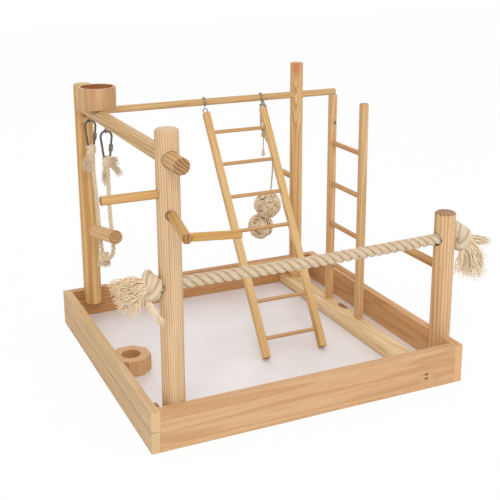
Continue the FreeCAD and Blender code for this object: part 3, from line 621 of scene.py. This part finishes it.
# each node: way of its grain, a place on its pith, its tone and what else timber() takes
PINES = (
    ("front_board", EAST, (250, 150, 36), (0.95, 0.87, 0.84),
     {"contrast": 0.45, "mottle": 0.6, "ring": 0.006, "tilt": 0.25,
      "knots": [((435.5, 0, 24), 4.5, 1.6, NAIL_MARK), ((435.5, 0, 17.5), 4.5, 1.6, NAIL_MARK)]}),
    ("back_board", EAST, (250, 560, 110), (0.82, 0.66, 0.50), {"tilt": 1.2}),
    ("left_rail", NORTH, (-150, 240, 70), (0.96, 0.96, 0.93), LEFT_SIDE),
    ("tray_front", NORTH, (-150, 240, -10), (0.94, 0.93, 0.90), LEFT_SIDE),
    ("right_board", NORTH, (570, 240, 14), (1.0, 0.86, 0.75),
     {"tilt": 2.2, "cut": 0.05, "contrast": 0.5, "ring": 0.009, "mottle": 0.7}),
    # its tone is raised past the wood's own colour as painted light, since the rail lies in shade
    ("cross_rail", NORTH, (440, 240, -30), (1.25, 1.40, 1.52),
     {"ring": 0.0055, "contrast": 0.6, "knots": [((453, 279, 27), 15, 7.5, (0.27, 0.115, 0.04))]}),
    ("corner_block", UPRIGHT, (10, 90, 0), (0.95, 0.85, 0.76), QUIET),
    ("octagonal_block", UPRIGHT, (45, 330, 0), (0.97, 0.85, 0.76), {"cut": 0.1, "contrast": 0.5}),
    ("front_left_post", UPRIGHT, (110.34, -1.34, 0), (1.05, 1.12, 1.27),
     {"ring": 0.0029, "wander": 1.3, "contrast": 0.85, "cut": 0.3,
      # holes: rims of painted shadow where the sticks and the rope go through the post
      "holes": [((*LEFT_POST, 394), (0, -1, 0), 11), ((*LEFT_POST, 348), (-1, 0, 0), 6),
                ((*LEFT_POST, 322), ARM_WAY, 6.5), ((*LEFT_POST, 223.9), ROPE_WAY, 8.9)]}),
    ("back_left_post", UPRIGHT, (10, 380, 0), (1.06, 1.06, 0.90),
     {"contrast": 0.8, "ring": 0.005, "mottle": 1.4, "cut": 0.3,
      # this dark knot under the cup is painted shadow of the cup on the post, together with a knot
      # in the wood
      "knots": [((45, 437, 379), 4, 5.5, (0.30, 0.13, 0.045))]}),
    ("back_right_post", UPRIGHT, (470, 480, 0), (1.05, 1.04, 0.90),
     {"contrast": 0.9, "ring": 0.005, "mottle": 1.5, "cut": 0.3,
      "knots": [((440.5, 441, 452), 42, 9.0, (0.56, 0.22, 0.10))]}),
    ("front_right_post", UPRIGHT, (560.34, 19.66, 0), (1.05, 1.06, 1.08),
     {"ring": 0.0045, "wander": 1.2, "contrast": 0.8, "cut": 1.0,
      # holes: a rim of painted shadow where the rope goes through the post
      "holes": [((*RIGHT_POST, 217.5), (-1, -0.047, 0), 9.3)]}),
    ("long_perch", NORTH, (60, 200, 420), (0.95, 0.96, 0.85), {"wander": 3.0}),
    ("top_bar", EAST, (250, 470, 400), (0.93, 0.92, 0.80), QUIET),
    ("side_perch", EAST, (0, 75, 360), (0.92, 0.82, 0.56), QUIET),
    ("elbow_perch_arm", ARM_WAY, (80, 0, 335), (0.86, 0.74, 0.42), QUIET),
    ("elbow_perch_tip", TIP_WAY, (60, -70, 340), (0.88, 0.77, 0.42), QUIET),
    ("right_perch", NORTH, (520, 100, 180), (0.92, 0.80, 0.54), {}),
    ("rear_perch", NORTH, (470, 500, 235), (0.92, 0.80, 0.54), {}),
    ("standing_upright_front", UPRIGHT, (480, 240, 0), (0.98, 0.97, 0.88), QUIET),
    ("standing_upright_rear", UPRIGHT, (480, 350, 0), (1.0, 0.98, 0.88),
     {"contrast": 0.7, "knots": [((451.5, 316.5, 352.5), 4, 2.2, None)]}),
    ("standing_rungs", NORTH, (460, 270, 130), (0.88, 0.74, 0.58), QUIET),
    ("ladder_rungs", EAST, (320, 340, 240), (0.88, 0.82, 0.72), QUIET),
    ("swing_perch", SWING_WAY, (60, 360, 220), (1.06, 1.0, 0.84), {"contrast": 0.5, "cut": 0.85}),
    ("corner_dowels", EAST, (250, 240, 30), (0.92, 0.88, 0.82), {}),
    ("ladder_rail_left", LEAN_WAY, (300, 330, 250), (1.14, 1.18, 1.02), LEAN_RAIL),
    ("ladder_rail_right", LEAN_WAY, (420, 330, 250), (1.14, 1.18, 1.02), LEAN_RAIL))


class STAND_OT_timber(bpy.types.Operator):
    """Gives the boards and sticks their pine"""
    bl_idname = "stand.timber"
    bl_label = "Boards and sticks"

    def execute(self, context):
        for node, grain, pith, tone, more in PINES:
            paint(timber("pine_" + node, grain, pith, tone, **more), node)
        return {"FINISHED"}


# ---- panel, cup and metal ----
class STAND_OT_panel(bpy.types.Operator):
    """Gives the droppings panel its white laminate"""
    bl_idname = "stand.panel"
    bl_label = "Droppings panel"

    def execute(self, context):
        sheet = Finish("white_laminate")
        place = sheet.place()
        drift = sheet.noise(place, 7.0)
        fine = sheet.noise(place, 700.0)
        patches = sheet.fade(drift, 0.35, 0.65)
        shade = sheet.mix(patches, rgba((0.84, 0.80, 0.805)), rgba((0.80, 0.755, 0.755)))
        sheet.bump(fine, 0.08, 0.0002)
        rough = sheet.fade(drift, 0.3, 0.7, 0.38, 0.50)
        paint(sheet.finish(Base_Color=shade, Roughness=rough), "droppings_panel")
        return {"FINISHED"}


CUP_MIDDLE = (43, 351, 0)
CUP_INSIDE = (0.0258, 0.0275)     # radii between which its inner wood turns into its skin
BAMBOO_SKIN = (0.60, 0.365, 0.18), (0.49, 0.28, 0.125)
BAMBOO_FLESH = (0.44, 0.185, 0.055), (0.35, 0.135, 0.038)


class STAND_OT_cup(bpy.types.Operator):
    """Gives the food cup its bamboo"""
    bl_idname = "stand.cup"
    bl_label = "Bamboo cup"

    def execute(self, context):
        wall = Finish("bamboo_wall")
        around = wall.vector("SUBTRACT", wall.place(), at(*CUP_MIDDLE))
        inside = wall.fade(wall.size(wall.squeeze(around, 0)), *CUP_INSIDE, 1.0, 0.0)
        fibre = wall.noise(wall.squeeze(around, 0.03), 900.0, 3.0, 0.6)
        bands = wall.fade(wall.noise(wall.squeeze(around, 0.05), 90.0), 0.35, 0.65)
        skin, flesh = [wall.mix(bands, rgba(pale), rgba(dark))
                       for pale, dark in (BAMBOO_SKIN, BAMBOO_FLESH)]
        shade = wall.mix(inside, skin, flesh)
        shade = wall.tint(shade, wall.fade(fibre, 0.4, 0.7, 0.0, 0.6), (0.82, 0.72, 0.60))
        wall.bump(fibre, 0.25, 0.0003)
        rough = wall.fade(fibre, 0.3, 0.7, 0.42, 0.58)
        paint(wall.finish(Base_Color=shade, Roughness=rough), "bamboo_cup")
        return {"FINISHED"}


class STAND_OT_metal(bpy.types.Operator):
    """Gives the links, hooks, eyes, nails and screws their metal"""
    bl_idname = "stand.metal"
    bl_label = "Links, hooks and fixings"

    def execute(self, context):
        paint(steel("dark_link_steel", (0.17, 0.145, 0.125), 0.38), "swing_link_front",
              "swing_link_rear")
        paint(steel("sleeve_steel", (0.24, 0.20, 0.165), 0.34), "swing_sleeve_front",
              "swing_sleeve_rear")
        paint(steel("bright_link_zinc", (0.52, 0.46, 0.39), 0.28), "toy_link", "toy_sleeve")
        paint(steel("zinc_wire", (0.38, 0.34, 0.30), 0.32), "ladder_eye_left", "ladder_eye_right",
              "ladder_hook_left", "ladder_hook_right", "swing_eye_front", "swing_eye_rear",
              "toy_eye")
        paint(steel("nail_steel", (0.22, 0.10, 0.045), 0.7, 0.15), "rail_nails", "post_pins",
              "wood_screws")
        return {"FINISHED"}


# ---- rope perch ----
ROPE_ROUTE = ((9.0, 27.2, 224.6), (74.95, 30.31, 223.6), (159.55, 34.29, 220.6),
              (259.45, 39.0, 218.3), (359.35, 43.7, 217.6), (439.0, 47.46, 217.3),
              (526.0, 51.55, 217.8))
ROPE_STEP = 0.0016

# knots: side, middle, reach across and up, half thickness, radius of the rope in them
ROPE_KNOTS = (("left", (14.5, 27.5, 225), (0.0150, 0.0155), 0.0054, 0.0078),
              ("right", (522.5, 51.5, 214.5), (0.0130, 0.0180), 0.0048, 0.0080))

# frayed ends: route, radius at the knot, spread at the end, number of yarns (None for the
# setting) and what else tuft_yarns() takes
LEFT_TUFTS = (
    (((8, 26, 226), (-8, 25, 226), (-22, 25, 223), (-39, 25, 218)),
     0.011, 0.021, None, {"curl": 0.0026}),
    (((4, 24, 222), (-6, 20, 216), (-14, 16, 206), (-22, 14, 194)),
     0.006, 0.012, 90, {"curl": 0.0026}),
    (((8, 20, 212), (10, 14, 202), (16, 11, 192), (27, 12, 172)),
     0.0045, 0.0030, 40, {"short": 0.75}))
RIGHT_TUFTS = (
    (((530, 50, 207), (540, 50, 197), (547, 49, 175), (550, 49, 144)),
     0.011, 0.019, None, {"curl": 0.0026}),
    (((536, 50, 200), (548, 49, 190), (558, 48, 178), (564, 48, 168)),
     0.006, 0.010, 90, {"curl": 0.0024}),
    (((530, 51, 211), (548, 51, 208), (564, 51, 203), (584, 51, 198)),
     0.007, 0.0060, 90, {"short": 0.7, "curl": 0.0008}),
    (((524, 46, 196), (521, 43, 184), (517, 42, 170), (511, 42, 154)),
     0.003, 0.007, 22, {"short": 0.7}))


class STAND_OT_rope_perch(bpy.types.Operator):
    """Twists the thick rope between the front posts"""
    bl_idname = "stand.rope_perch"
    bl_label = "Rope perch"

    def execute(self, context):
        look = context.scene.play_stand.rope
        line = laid_line(ROPE_ROUTE, ROPE_STEP)
        skin = Skin()
        lay_rope(skin, line, look.perch_radius, look.perch_lay, fat=0.52, gloom=3.6)
        scatter_fuzz(skin, line, look.perch_radius, 700, 0.006, random.Random(11))
        rope = skin.mesh("perch_rope", cotton("perch_cotton", 0.88, 0.02))
        piece = link(rope, "stand")
        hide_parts("rope_perch")
        return {"FINISHED"}


class STAND_OT_rope_ends(bpy.types.Operator):
    """Ties the thick rope's knots and frays its ends"""
    bl_idname = "stand.rope_ends"
    bl_label = "Rope knots and tufts"

    def execute(self, context):
        look = context.scene.play_stand.rope
        bound = {"left": cotton("left_knot_cotton", 0.94),
                 "right": cotton("right_knot_cotton", 0.95, -0.05)}
        loose = {"left": cotton("left_tuft_cotton", 1.20),
                 "right": cotton("right_tuft_cotton", 1.20, -0.03)}
        for side, middle, reach, thick, tube_r in ROPE_KNOTS:
            skin = Skin()
            line = knot_line(at(*middle), Vector(ROPE_WAY), UP, reach, thick)
            lay_rope(skin, line, tube_r, 0.080, closed=True, fat=0.60)
            knot = skin.mesh("rope_knot_%s_laid" % side, bound[side])
            piece = link(knot, "stand")
            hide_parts("rope_knot_" + side)

        rng = random.Random(21)
        for side, tufts in (("left", LEFT_TUFTS), ("right", RIGHT_TUFTS)):
            skin = Skin()
            for route, root_r, spread, count, more in tufts:
                tuft_yarns(skin, route, root_r, spread, count or look.yarns, rng, **more)
            tuft = skin.mesh("rope_tuft_%s_yarns" % side, loose[side])
            piece = link(tuft, "stand")
            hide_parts("rope_tuft_" + side)
        return {"FINISHED"}


# ---- swing ----
SWING_ROUTES = {
    "front": ((43, 309, 325.6), (43, 308.5, 277.9), (43, 306, 231.9), (43, 291, 187.9),
              (43, 318, 165.9), (43, 349, 155.1)),
    "rear": ((43, 402, 325.6), (43, 390, 275.8), (43, 379, 223.8), (43, 371, 173.8),
             (43, 359, 155.1))}
SWING_STEP = 0.0008
TOP_KNOTS = {"front": (43, 309), "rear": (43, 402)}
TOP_TUFTS = {
    "front": (((43, 311, 328), (41, 312, 314), (40, 312, 300), (41, 312, 286)),
              ((45, 306, 330), (50, 301, 322), (57, 298, 314), (60, 298, 304)),
              ((45, 306, 330), (51, 302, 332), (56, 299, 329), (60, 298, 333))),
    "rear": (((41, 403, 322), (36, 408, 312), (33, 412, 300), (35, 411, 288)),
             ((43, 400, 324), (41, 398, 312), (40, 396, 302), (39, 397, 290)))}
LOW_KNOT = (43, 352, 158)
# loose ends under the lower knot: route, radius at the knot, spread, yarns, their radius, curl
# and shortest share
LOW_TUFTS = (
    (((43, 358, 158), (43, 360, 150), (43, 358, 137.5)), 0.0050, 0.0115, 120, 0.0006, 0.0014, 0.7),
    (((43, 350, 158), (43, 348, 150), (43, 350, 139.5)), 0.0050, 0.0095, 120, 0.0006, 0.0014, 0.7),
    (((43, 350, 158), (43, 343, 156), (43, 336, 155), (43, 331, 155)),
     0.0012, 0.0030, 24, 0.0005, 0.0008, 0.6))
SMALL_KNOT = {"lay": 0.030, "closed": True, "sides": 14, "yarns": 4, "fat": 0.6}


class STAND_OT_swing_ropes(bpy.types.Operator):
    """Twists the swing's ropes and ties their knots"""
    bl_idname = "stand.swing_ropes"
    bl_label = "Swing ropes and knots"

    def execute(self, context):
        look = context.scene.play_stand.rope
        thick = look.swing_radius
        material = cotton("swing_cotton", 1.02)
        rng = random.Random(31)
        for side, route in SWING_ROUTES.items():
            line = laid_line(route, SWING_STEP)
            skin = Skin()
            lay_rope(skin, line, thick, look.swing_lay, sides=16, yarns=4, fat=0.48)
            scatter_fuzz(skin, line, thick, 160, 0.005, rng)
            rope = skin.mesh("swing_rope_%s_laid" % side, material)
            piece = link(rope, "swing")
            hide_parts("swing_rope_" + side)

        for side, (x, y) in TOP_KNOTS.items():
            skin = Skin()
            for turn, height in ((0, 331.0), (1, 324.5)):
                line = knot_line(at(x, y, height), UP + Vector((0.3 * turn, 0.2, 0)),
                                 Vector((1, turn, 0)), (0.0046, 0.0052), 0.0030)
                lay_rope(skin, line, thick, **SMALL_KNOT)
            for route in TOP_TUFTS[side]:
                tuft_yarns(skin, route, 0.0030, 0.0062, 90, rng, 0.0005, 0.0011, 0.6)
            knot = skin.mesh("swing_knot_%s_laid" % side, material)
            piece = link(knot, "swing")
            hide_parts("swing_knot_" + side)

        skin = Skin()
        line = knot_line(at(*LOW_KNOT), UP, Vector(NORTH), (0.0060, 0.0068), 0.0050)
        lay_rope(skin, line, thick * 1.1, **SMALL_KNOT)
        for route, root_r, spread, count, yarn_r, curl, short in LOW_TUFTS:
            tuft_yarns(skin, route, root_r, spread, count, rng, yarn_r, curl, short)
        piece = link(skin.mesh("swing_lower_knot_laid", material), "swing")
        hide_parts("swing_lower_knot")
        return {"FINISHED"}


# ---- hanging toy ----
TOY = (380, 454)                  # the toy's upright line
TOY_KNOT_Z = 311.5
TOY_LOOP = (319.9, 0.0036, 48)    # height, radius and points of the loop in the link
TOY_STEP = 0.0006
TOY_CORD_ROUTE = ((380, 454, 311.8), (392, 454, 291.8), (399.5, 454, 265.8),
                  (398.8, 454, 231.8), (394.8, 454, 199.3))
TAIL_ROUTE = ((380, 454, 309), (380.5, 454, 298), (380, 454, 284))
TIP_ROUTE = ((380, 454, 286), (380, 454, 279), (380, 454, 271.5))
TWO_PLY = {"strands": 2, "yarns": 3, "fat": 0.56}
TOY_LAY = 0.010
BANDS = 10                        # bands of vine round a ball, each of five vines side by side
LANES = range(-2, 3)
LANE_APART = 0.0029
GOLDEN_TURN = 2.39996             # from one band's axis to the next, in radians
BAND_POINTS = 72
VINE_R = 0.0012
HEART_IN = 0.0036                 # the dark heart's surface, below the ball's


class STAND_OT_toy(bpy.types.Operator):
    """Makes the toy's cord, tassel and woven balls"""
    bl_idname = "stand.toy"
    bl_label = "Hanging toy"

    def execute(self, context):
        look = context.scene.play_stand.rope
        material = cotton("toy_cotton", 0.95)
        skin = self.tassel(look.toy_radius)
        piece = link(skin.mesh("toy_tassel_yarns", material), "toy_hanger")
        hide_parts("toy_tassel")

        skin = Skin()
        line = laid_line(TOY_CORD_ROUTE, TOY_STEP)
        lay_rope(skin, line, look.toy_radius, TOY_LAY, sides=12, **TWO_PLY)
        piece = link(skin.mesh("toy_cord_laid", material), "toy_hanger")
        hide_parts("toy_cord")

        rng = random.Random(41)
        vine = self.vine()
        core = self.core()
        for name, node in (("upper", "toy_ball_upper"), ("lower", "toy_ball_lower")):
            low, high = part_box(node)
            centre = (low + high) / 2
            radius = (high.y - low.y) / 2
            skin = self.woven(centre, radius, rng)
            piece = link(skin.mesh("woven_ball_" + name, vine), "toy_hanger")
            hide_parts(node)
            heart = self.heart("ball_heart_" + name, centre, radius - HEART_IN)
            heart.materials.append(core)
            link(heart, "toy_hanger")
        return {"FINISHED"}

    def tassel(self, cord_r):
        """The loop in the link, the knot under it and its tail with a thick tip."""
        skin = Skin()
        line = knot_line(at(*TOY, TOY_KNOT_Z), UP, Vector(EAST), (0.0026, 0.0030), 0.0026)
        lay_rope(skin, line, 0.0018, 0.012, closed=True, sides=12, yarns=3, depth=0.1)
        height, radius, count = TOY_LOOP
        loop = []
        for k in range(count):
            turn = k * math.tau / count
            loop.append(at(*TOY, height) + Vector((0, math.cos(turn), math.sin(turn))) * radius)
        lay_rope(skin, loop, cord_r, TOY_LAY, closed=True, sides=12, **TWO_PLY)
        lay_rope(skin, laid_line(TAIL_ROUTE, TOY_STEP), 0.0011, 0.008, sides=10, **TWO_PLY)
        skin.tube(laid_line(TIP_ROUTE, 0.0005), 0.0034, 18, 9, 0.12, 0.05,
                  taper=lambda gone: 0.35 + 0.65 * math.sin(2.4 * gone ** 1.3))
        return skin

    def woven(self, centre, radius, rng):
        """Bands of thin vine that cross each other round a ball."""
        skin = Skin()
        for i in range(BANDS):
            z = 1 - 2 * (i + 0.5) / BANDS
            turn = i * GOLDEN_TURN
            flat = math.sqrt(1 - z * z)
            axis = Vector((math.cos(turn) * flat, math.sin(turn) * flat, z))
            side = axis.orthogonal().normalized()
            other = axis.cross(side)
            sunk = rng.uniform(0.0, 0.0022)
            shift = rng.uniform(-0.25, 0.25) * radius
            for lane in LANES:
                off = shift + lane * LANE_APART + rng.uniform(-0.0004, 0.0004)
                ring_r = math.sqrt(radius ** 2 - off ** 2) - sunk
                phase = rng.uniform(0, PHASES)
                points = []
                for k in range(BAND_POINTS):
                    t = 2 * math.pi * k / BAND_POINTS
                    lift = ring_r - VINE_R + 0.0015 * math.sin((4 + i % 3) * t + phase)
                    sway = 0.0009 * math.sin(3 * t + phase)
                    points.append(centre + axis * (off + sway)
                                  + (side * math.cos(t) + other * math.sin(t)) * lift)
                # around and gloom give each vine painted shade towards the ball's middle
                skin.tube(points, VINE_R, 8, 4, 0.2, 0.35, closed=True,
                          around=([centre] * BAND_POINTS, radius), gloom=7.5)
        return skin

    def heart(self, name, centre, radius):
        """Rough ball that closes the gaps between the vines."""
        data = bpy.data.meshes.new(name)
        shell = bmesh.new()
        bmesh.ops.create_icosphere(shell, subdivisions=4, radius=radius,
                                   matrix=Matrix.Translation(centre))
        shell.to_mesh(data)
        shell.free()
        data.polygons.foreach_set("use_smooth", [True] * len(data.polygons))
        return data

    def vine(self):
        bark = Finish("woven_vine")
        place = bark.place()
        drift = bark.fade(bark.noise(place, 90.0, 3.0, 0.6), 0.35, 0.65)
        shade = bark.mix(drift, rgba((0.84, 0.72, 0.54)), rgba((0.69, 0.52, 0.32)))
        # painted shade in the gaps between vines and towards the ball's middle
        deep = bark.fade(bark.hollow(), 0.25, 1.0, 0.0, 0.9)
        shade = bark.mix(deep, shade, rgba((0.36, 0.24, 0.12)))
        bark.bump(bark.noise(place, 1500.0), 0.3, 0.0002)
        return bark.finish(Base_Color=shade, Roughness=0.8)

    def core(self):
        pith = Finish("ball_heart")
        place = pith.place()
        speckle = pith.noise(place, 300.0, 3.0)
        shade = pith.mix(speckle, rgba((0.42, 0.31, 0.19)), rgba((0.20, 0.13, 0.07)))
        pith.bump(pith.noise(place, 700.0, 3.0), 0.6, 0.001)
        return pith.finish(Base_Color=shade, Roughness=0.95)


# ---- stage ----
FLOOR_REACH = 6.0
FLOOR_GLOW = 0.94                 # share of plain white in what is seen of the floor
WORLD_LIGHT = 0.70                # the world's light on the stand; where it is seen it is white
LAMP_AIM = (0, 0.2, 0.2)
LAMPS = (("key", (-0.9, -1.7, 1.9), 28.0, 1.2),        # place, power in watts and size
         ("fill", (1.9, -1.0, 1.1), 9.0, 1.6),
         ("rear", (0.3, 2.2, 1.7), 9.0, 1.6))
CAMERA_PLACE = (-331.7, -1039.4, 661.5)
CAMERA_TURN, CAMERA_TILT, CAMERA_ROLL = -24.17, 90 - 14.70, -0.38     # degrees
CAMERA_SHIFT = (0.014, -0.142)


class STAND_OT_stage(bpy.types.Operator):
    """Sets the floor, lamps, world and camera"""
    bl_idname = "stand.stage"
    bl_label = "Stage and camera"

    def execute(self, context):
        scene = context.scene
        look = scene.play_stand.stage
        self.lay_floor(scene, look.floor)
        self.light_world(scene)
        self.hang_lamps(scene)
        self.set_camera(scene, look.lens)
        scene.view_settings.view_transform = "Standard"
        return {"FINISHED"}

    def lay_floor(self, scene, shade):
        data = bpy.data.meshes.new("floor")
        near, far = -FLOOR_REACH, FLOOR_REACH
        corners = [(near, near, 0), (far, near, 0), (far, far, 0), (near, far, 0)]
        data.from_pydata(corners, [], [(0, 1, 2, 3)])
        floor = bpy.data.objects.new("floor", data)
        scene.collection.objects.link(floor)
        plain = Finish("plain_floor")
        plain.finish(Base_Color=rgba(shade), Roughness=0.9)
        glow = plain.add("Emission", {"Color": (1, 1, 1, 1), "Strength": 1.0})
        share = plain.math("MULTIPLY", plain.seen(), FLOOR_GLOW)
        both = plain.add("MixShader", {0: share, 1: plain.surface.outputs[0], 2: glow})
        plain.put(plain.tree.nodes["Material Output"].inputs["Surface"], both)
        data.materials.append(plain.material)

    def light_world(self, scene):
        scene.world = bpy.data.worlds.new("studio")
        air = Nodes(scene.world)
        back = air.tree.nodes["Background"]
        air.put(back.inputs["Color"], (1, 1, 1, 1))
        level = air.add("MapRange", {0: air.seen(), 3: WORLD_LIGHT, 4: 1.0})
        air.put(back.inputs["Strength"], level)

    def hang_lamps(self, scene):
        for name, place, power, size in LAMPS:
            lamp = bpy.data.lights.new(name, "AREA")
            lamp.energy = power
            lamp.size = size
            carrier = bpy.data.objects.new(name, lamp)
            carrier.location = place
            way = Vector(LAMP_AIM) - Vector(place)
            carrier.rotation_euler = way.to_track_quat("-Z", "Y").to_euler()
            scene.collection.objects.link(carrier)

    def set_camera(self, scene, lens):
        camera = bpy.data.cameras.new("camera")
        camera.lens = lens
        camera.sensor_width = 36.0
        camera.shift_x, camera.shift_y = CAMERA_SHIFT
        camera.clip_end = 50.0
        holder = bpy.data.objects.new("camera", camera)
        turn = (Matrix.Rotation(math.radians(CAMERA_TURN), 4, "Z")
                @ Matrix.Rotation(math.radians(CAMERA_TILT), 4, "X")
                @ Matrix.Rotation(math.radians(CAMERA_ROLL), 4, "Z"))
        holder.matrix_world = Matrix.Translation(at(*CAMERA_PLACE)) @ turn
        scene.collection.objects.link(holder)
        scene.camera = holder


# ---- panel in the sidebar, and running it all ----
class STAND_PT_panel(bpy.types.Panel):
    """Lists the stand's steps and settings"""
    bl_label = "Play Stand"
    bl_idname = "STAND_PT_panel"
    bl_space_type = "VIEW_3D"
    bl_region_type = "UI"
    bl_category = "Play Stand"

    def draw(self, context):
        look = context.scene.play_stand
        for group, names in ((look.timber, ("early", "late", "knot", "ring", "rough")),
                             (look.rope, ("fibre", "shade", "perch_radius", "perch_lay",
                                          "swing_radius", "swing_lay", "toy_radius", "yarns")),
                             (look.stage, ("lens", "floor"))):
            for name in names:
                self.layout.prop(group, name)
        for step in STEPS:
            self.layout.operator(step.bl_idname)


STEPS = (STAND_OT_timber, STAND_OT_panel, STAND_OT_cup, STAND_OT_metal, STAND_OT_rope_perch,
         STAND_OT_rope_ends, STAND_OT_swing_ropes, STAND_OT_toy, STAND_OT_stage)
CLASSES = (TimberSettings, RopeSettings, StageSettings, StandSettings) + STEPS + (STAND_PT_panel,)


def register():
    for each in CLASSES:
        bpy.utils.register_class(each)
    bpy.types.Scene.play_stand = PointerProperty(type=StandSettings)


def unregister():
    del bpy.types.Scene.play_stand
    for each in reversed(CLASSES):
        bpy.utils.unregister_class(each)


def main():
    register()
    for step in STEPS:
        group, name = step.bl_idname.split(".")
        getattr(getattr(bpy.ops, group), name)()


if __name__ == "__main__":
    main()
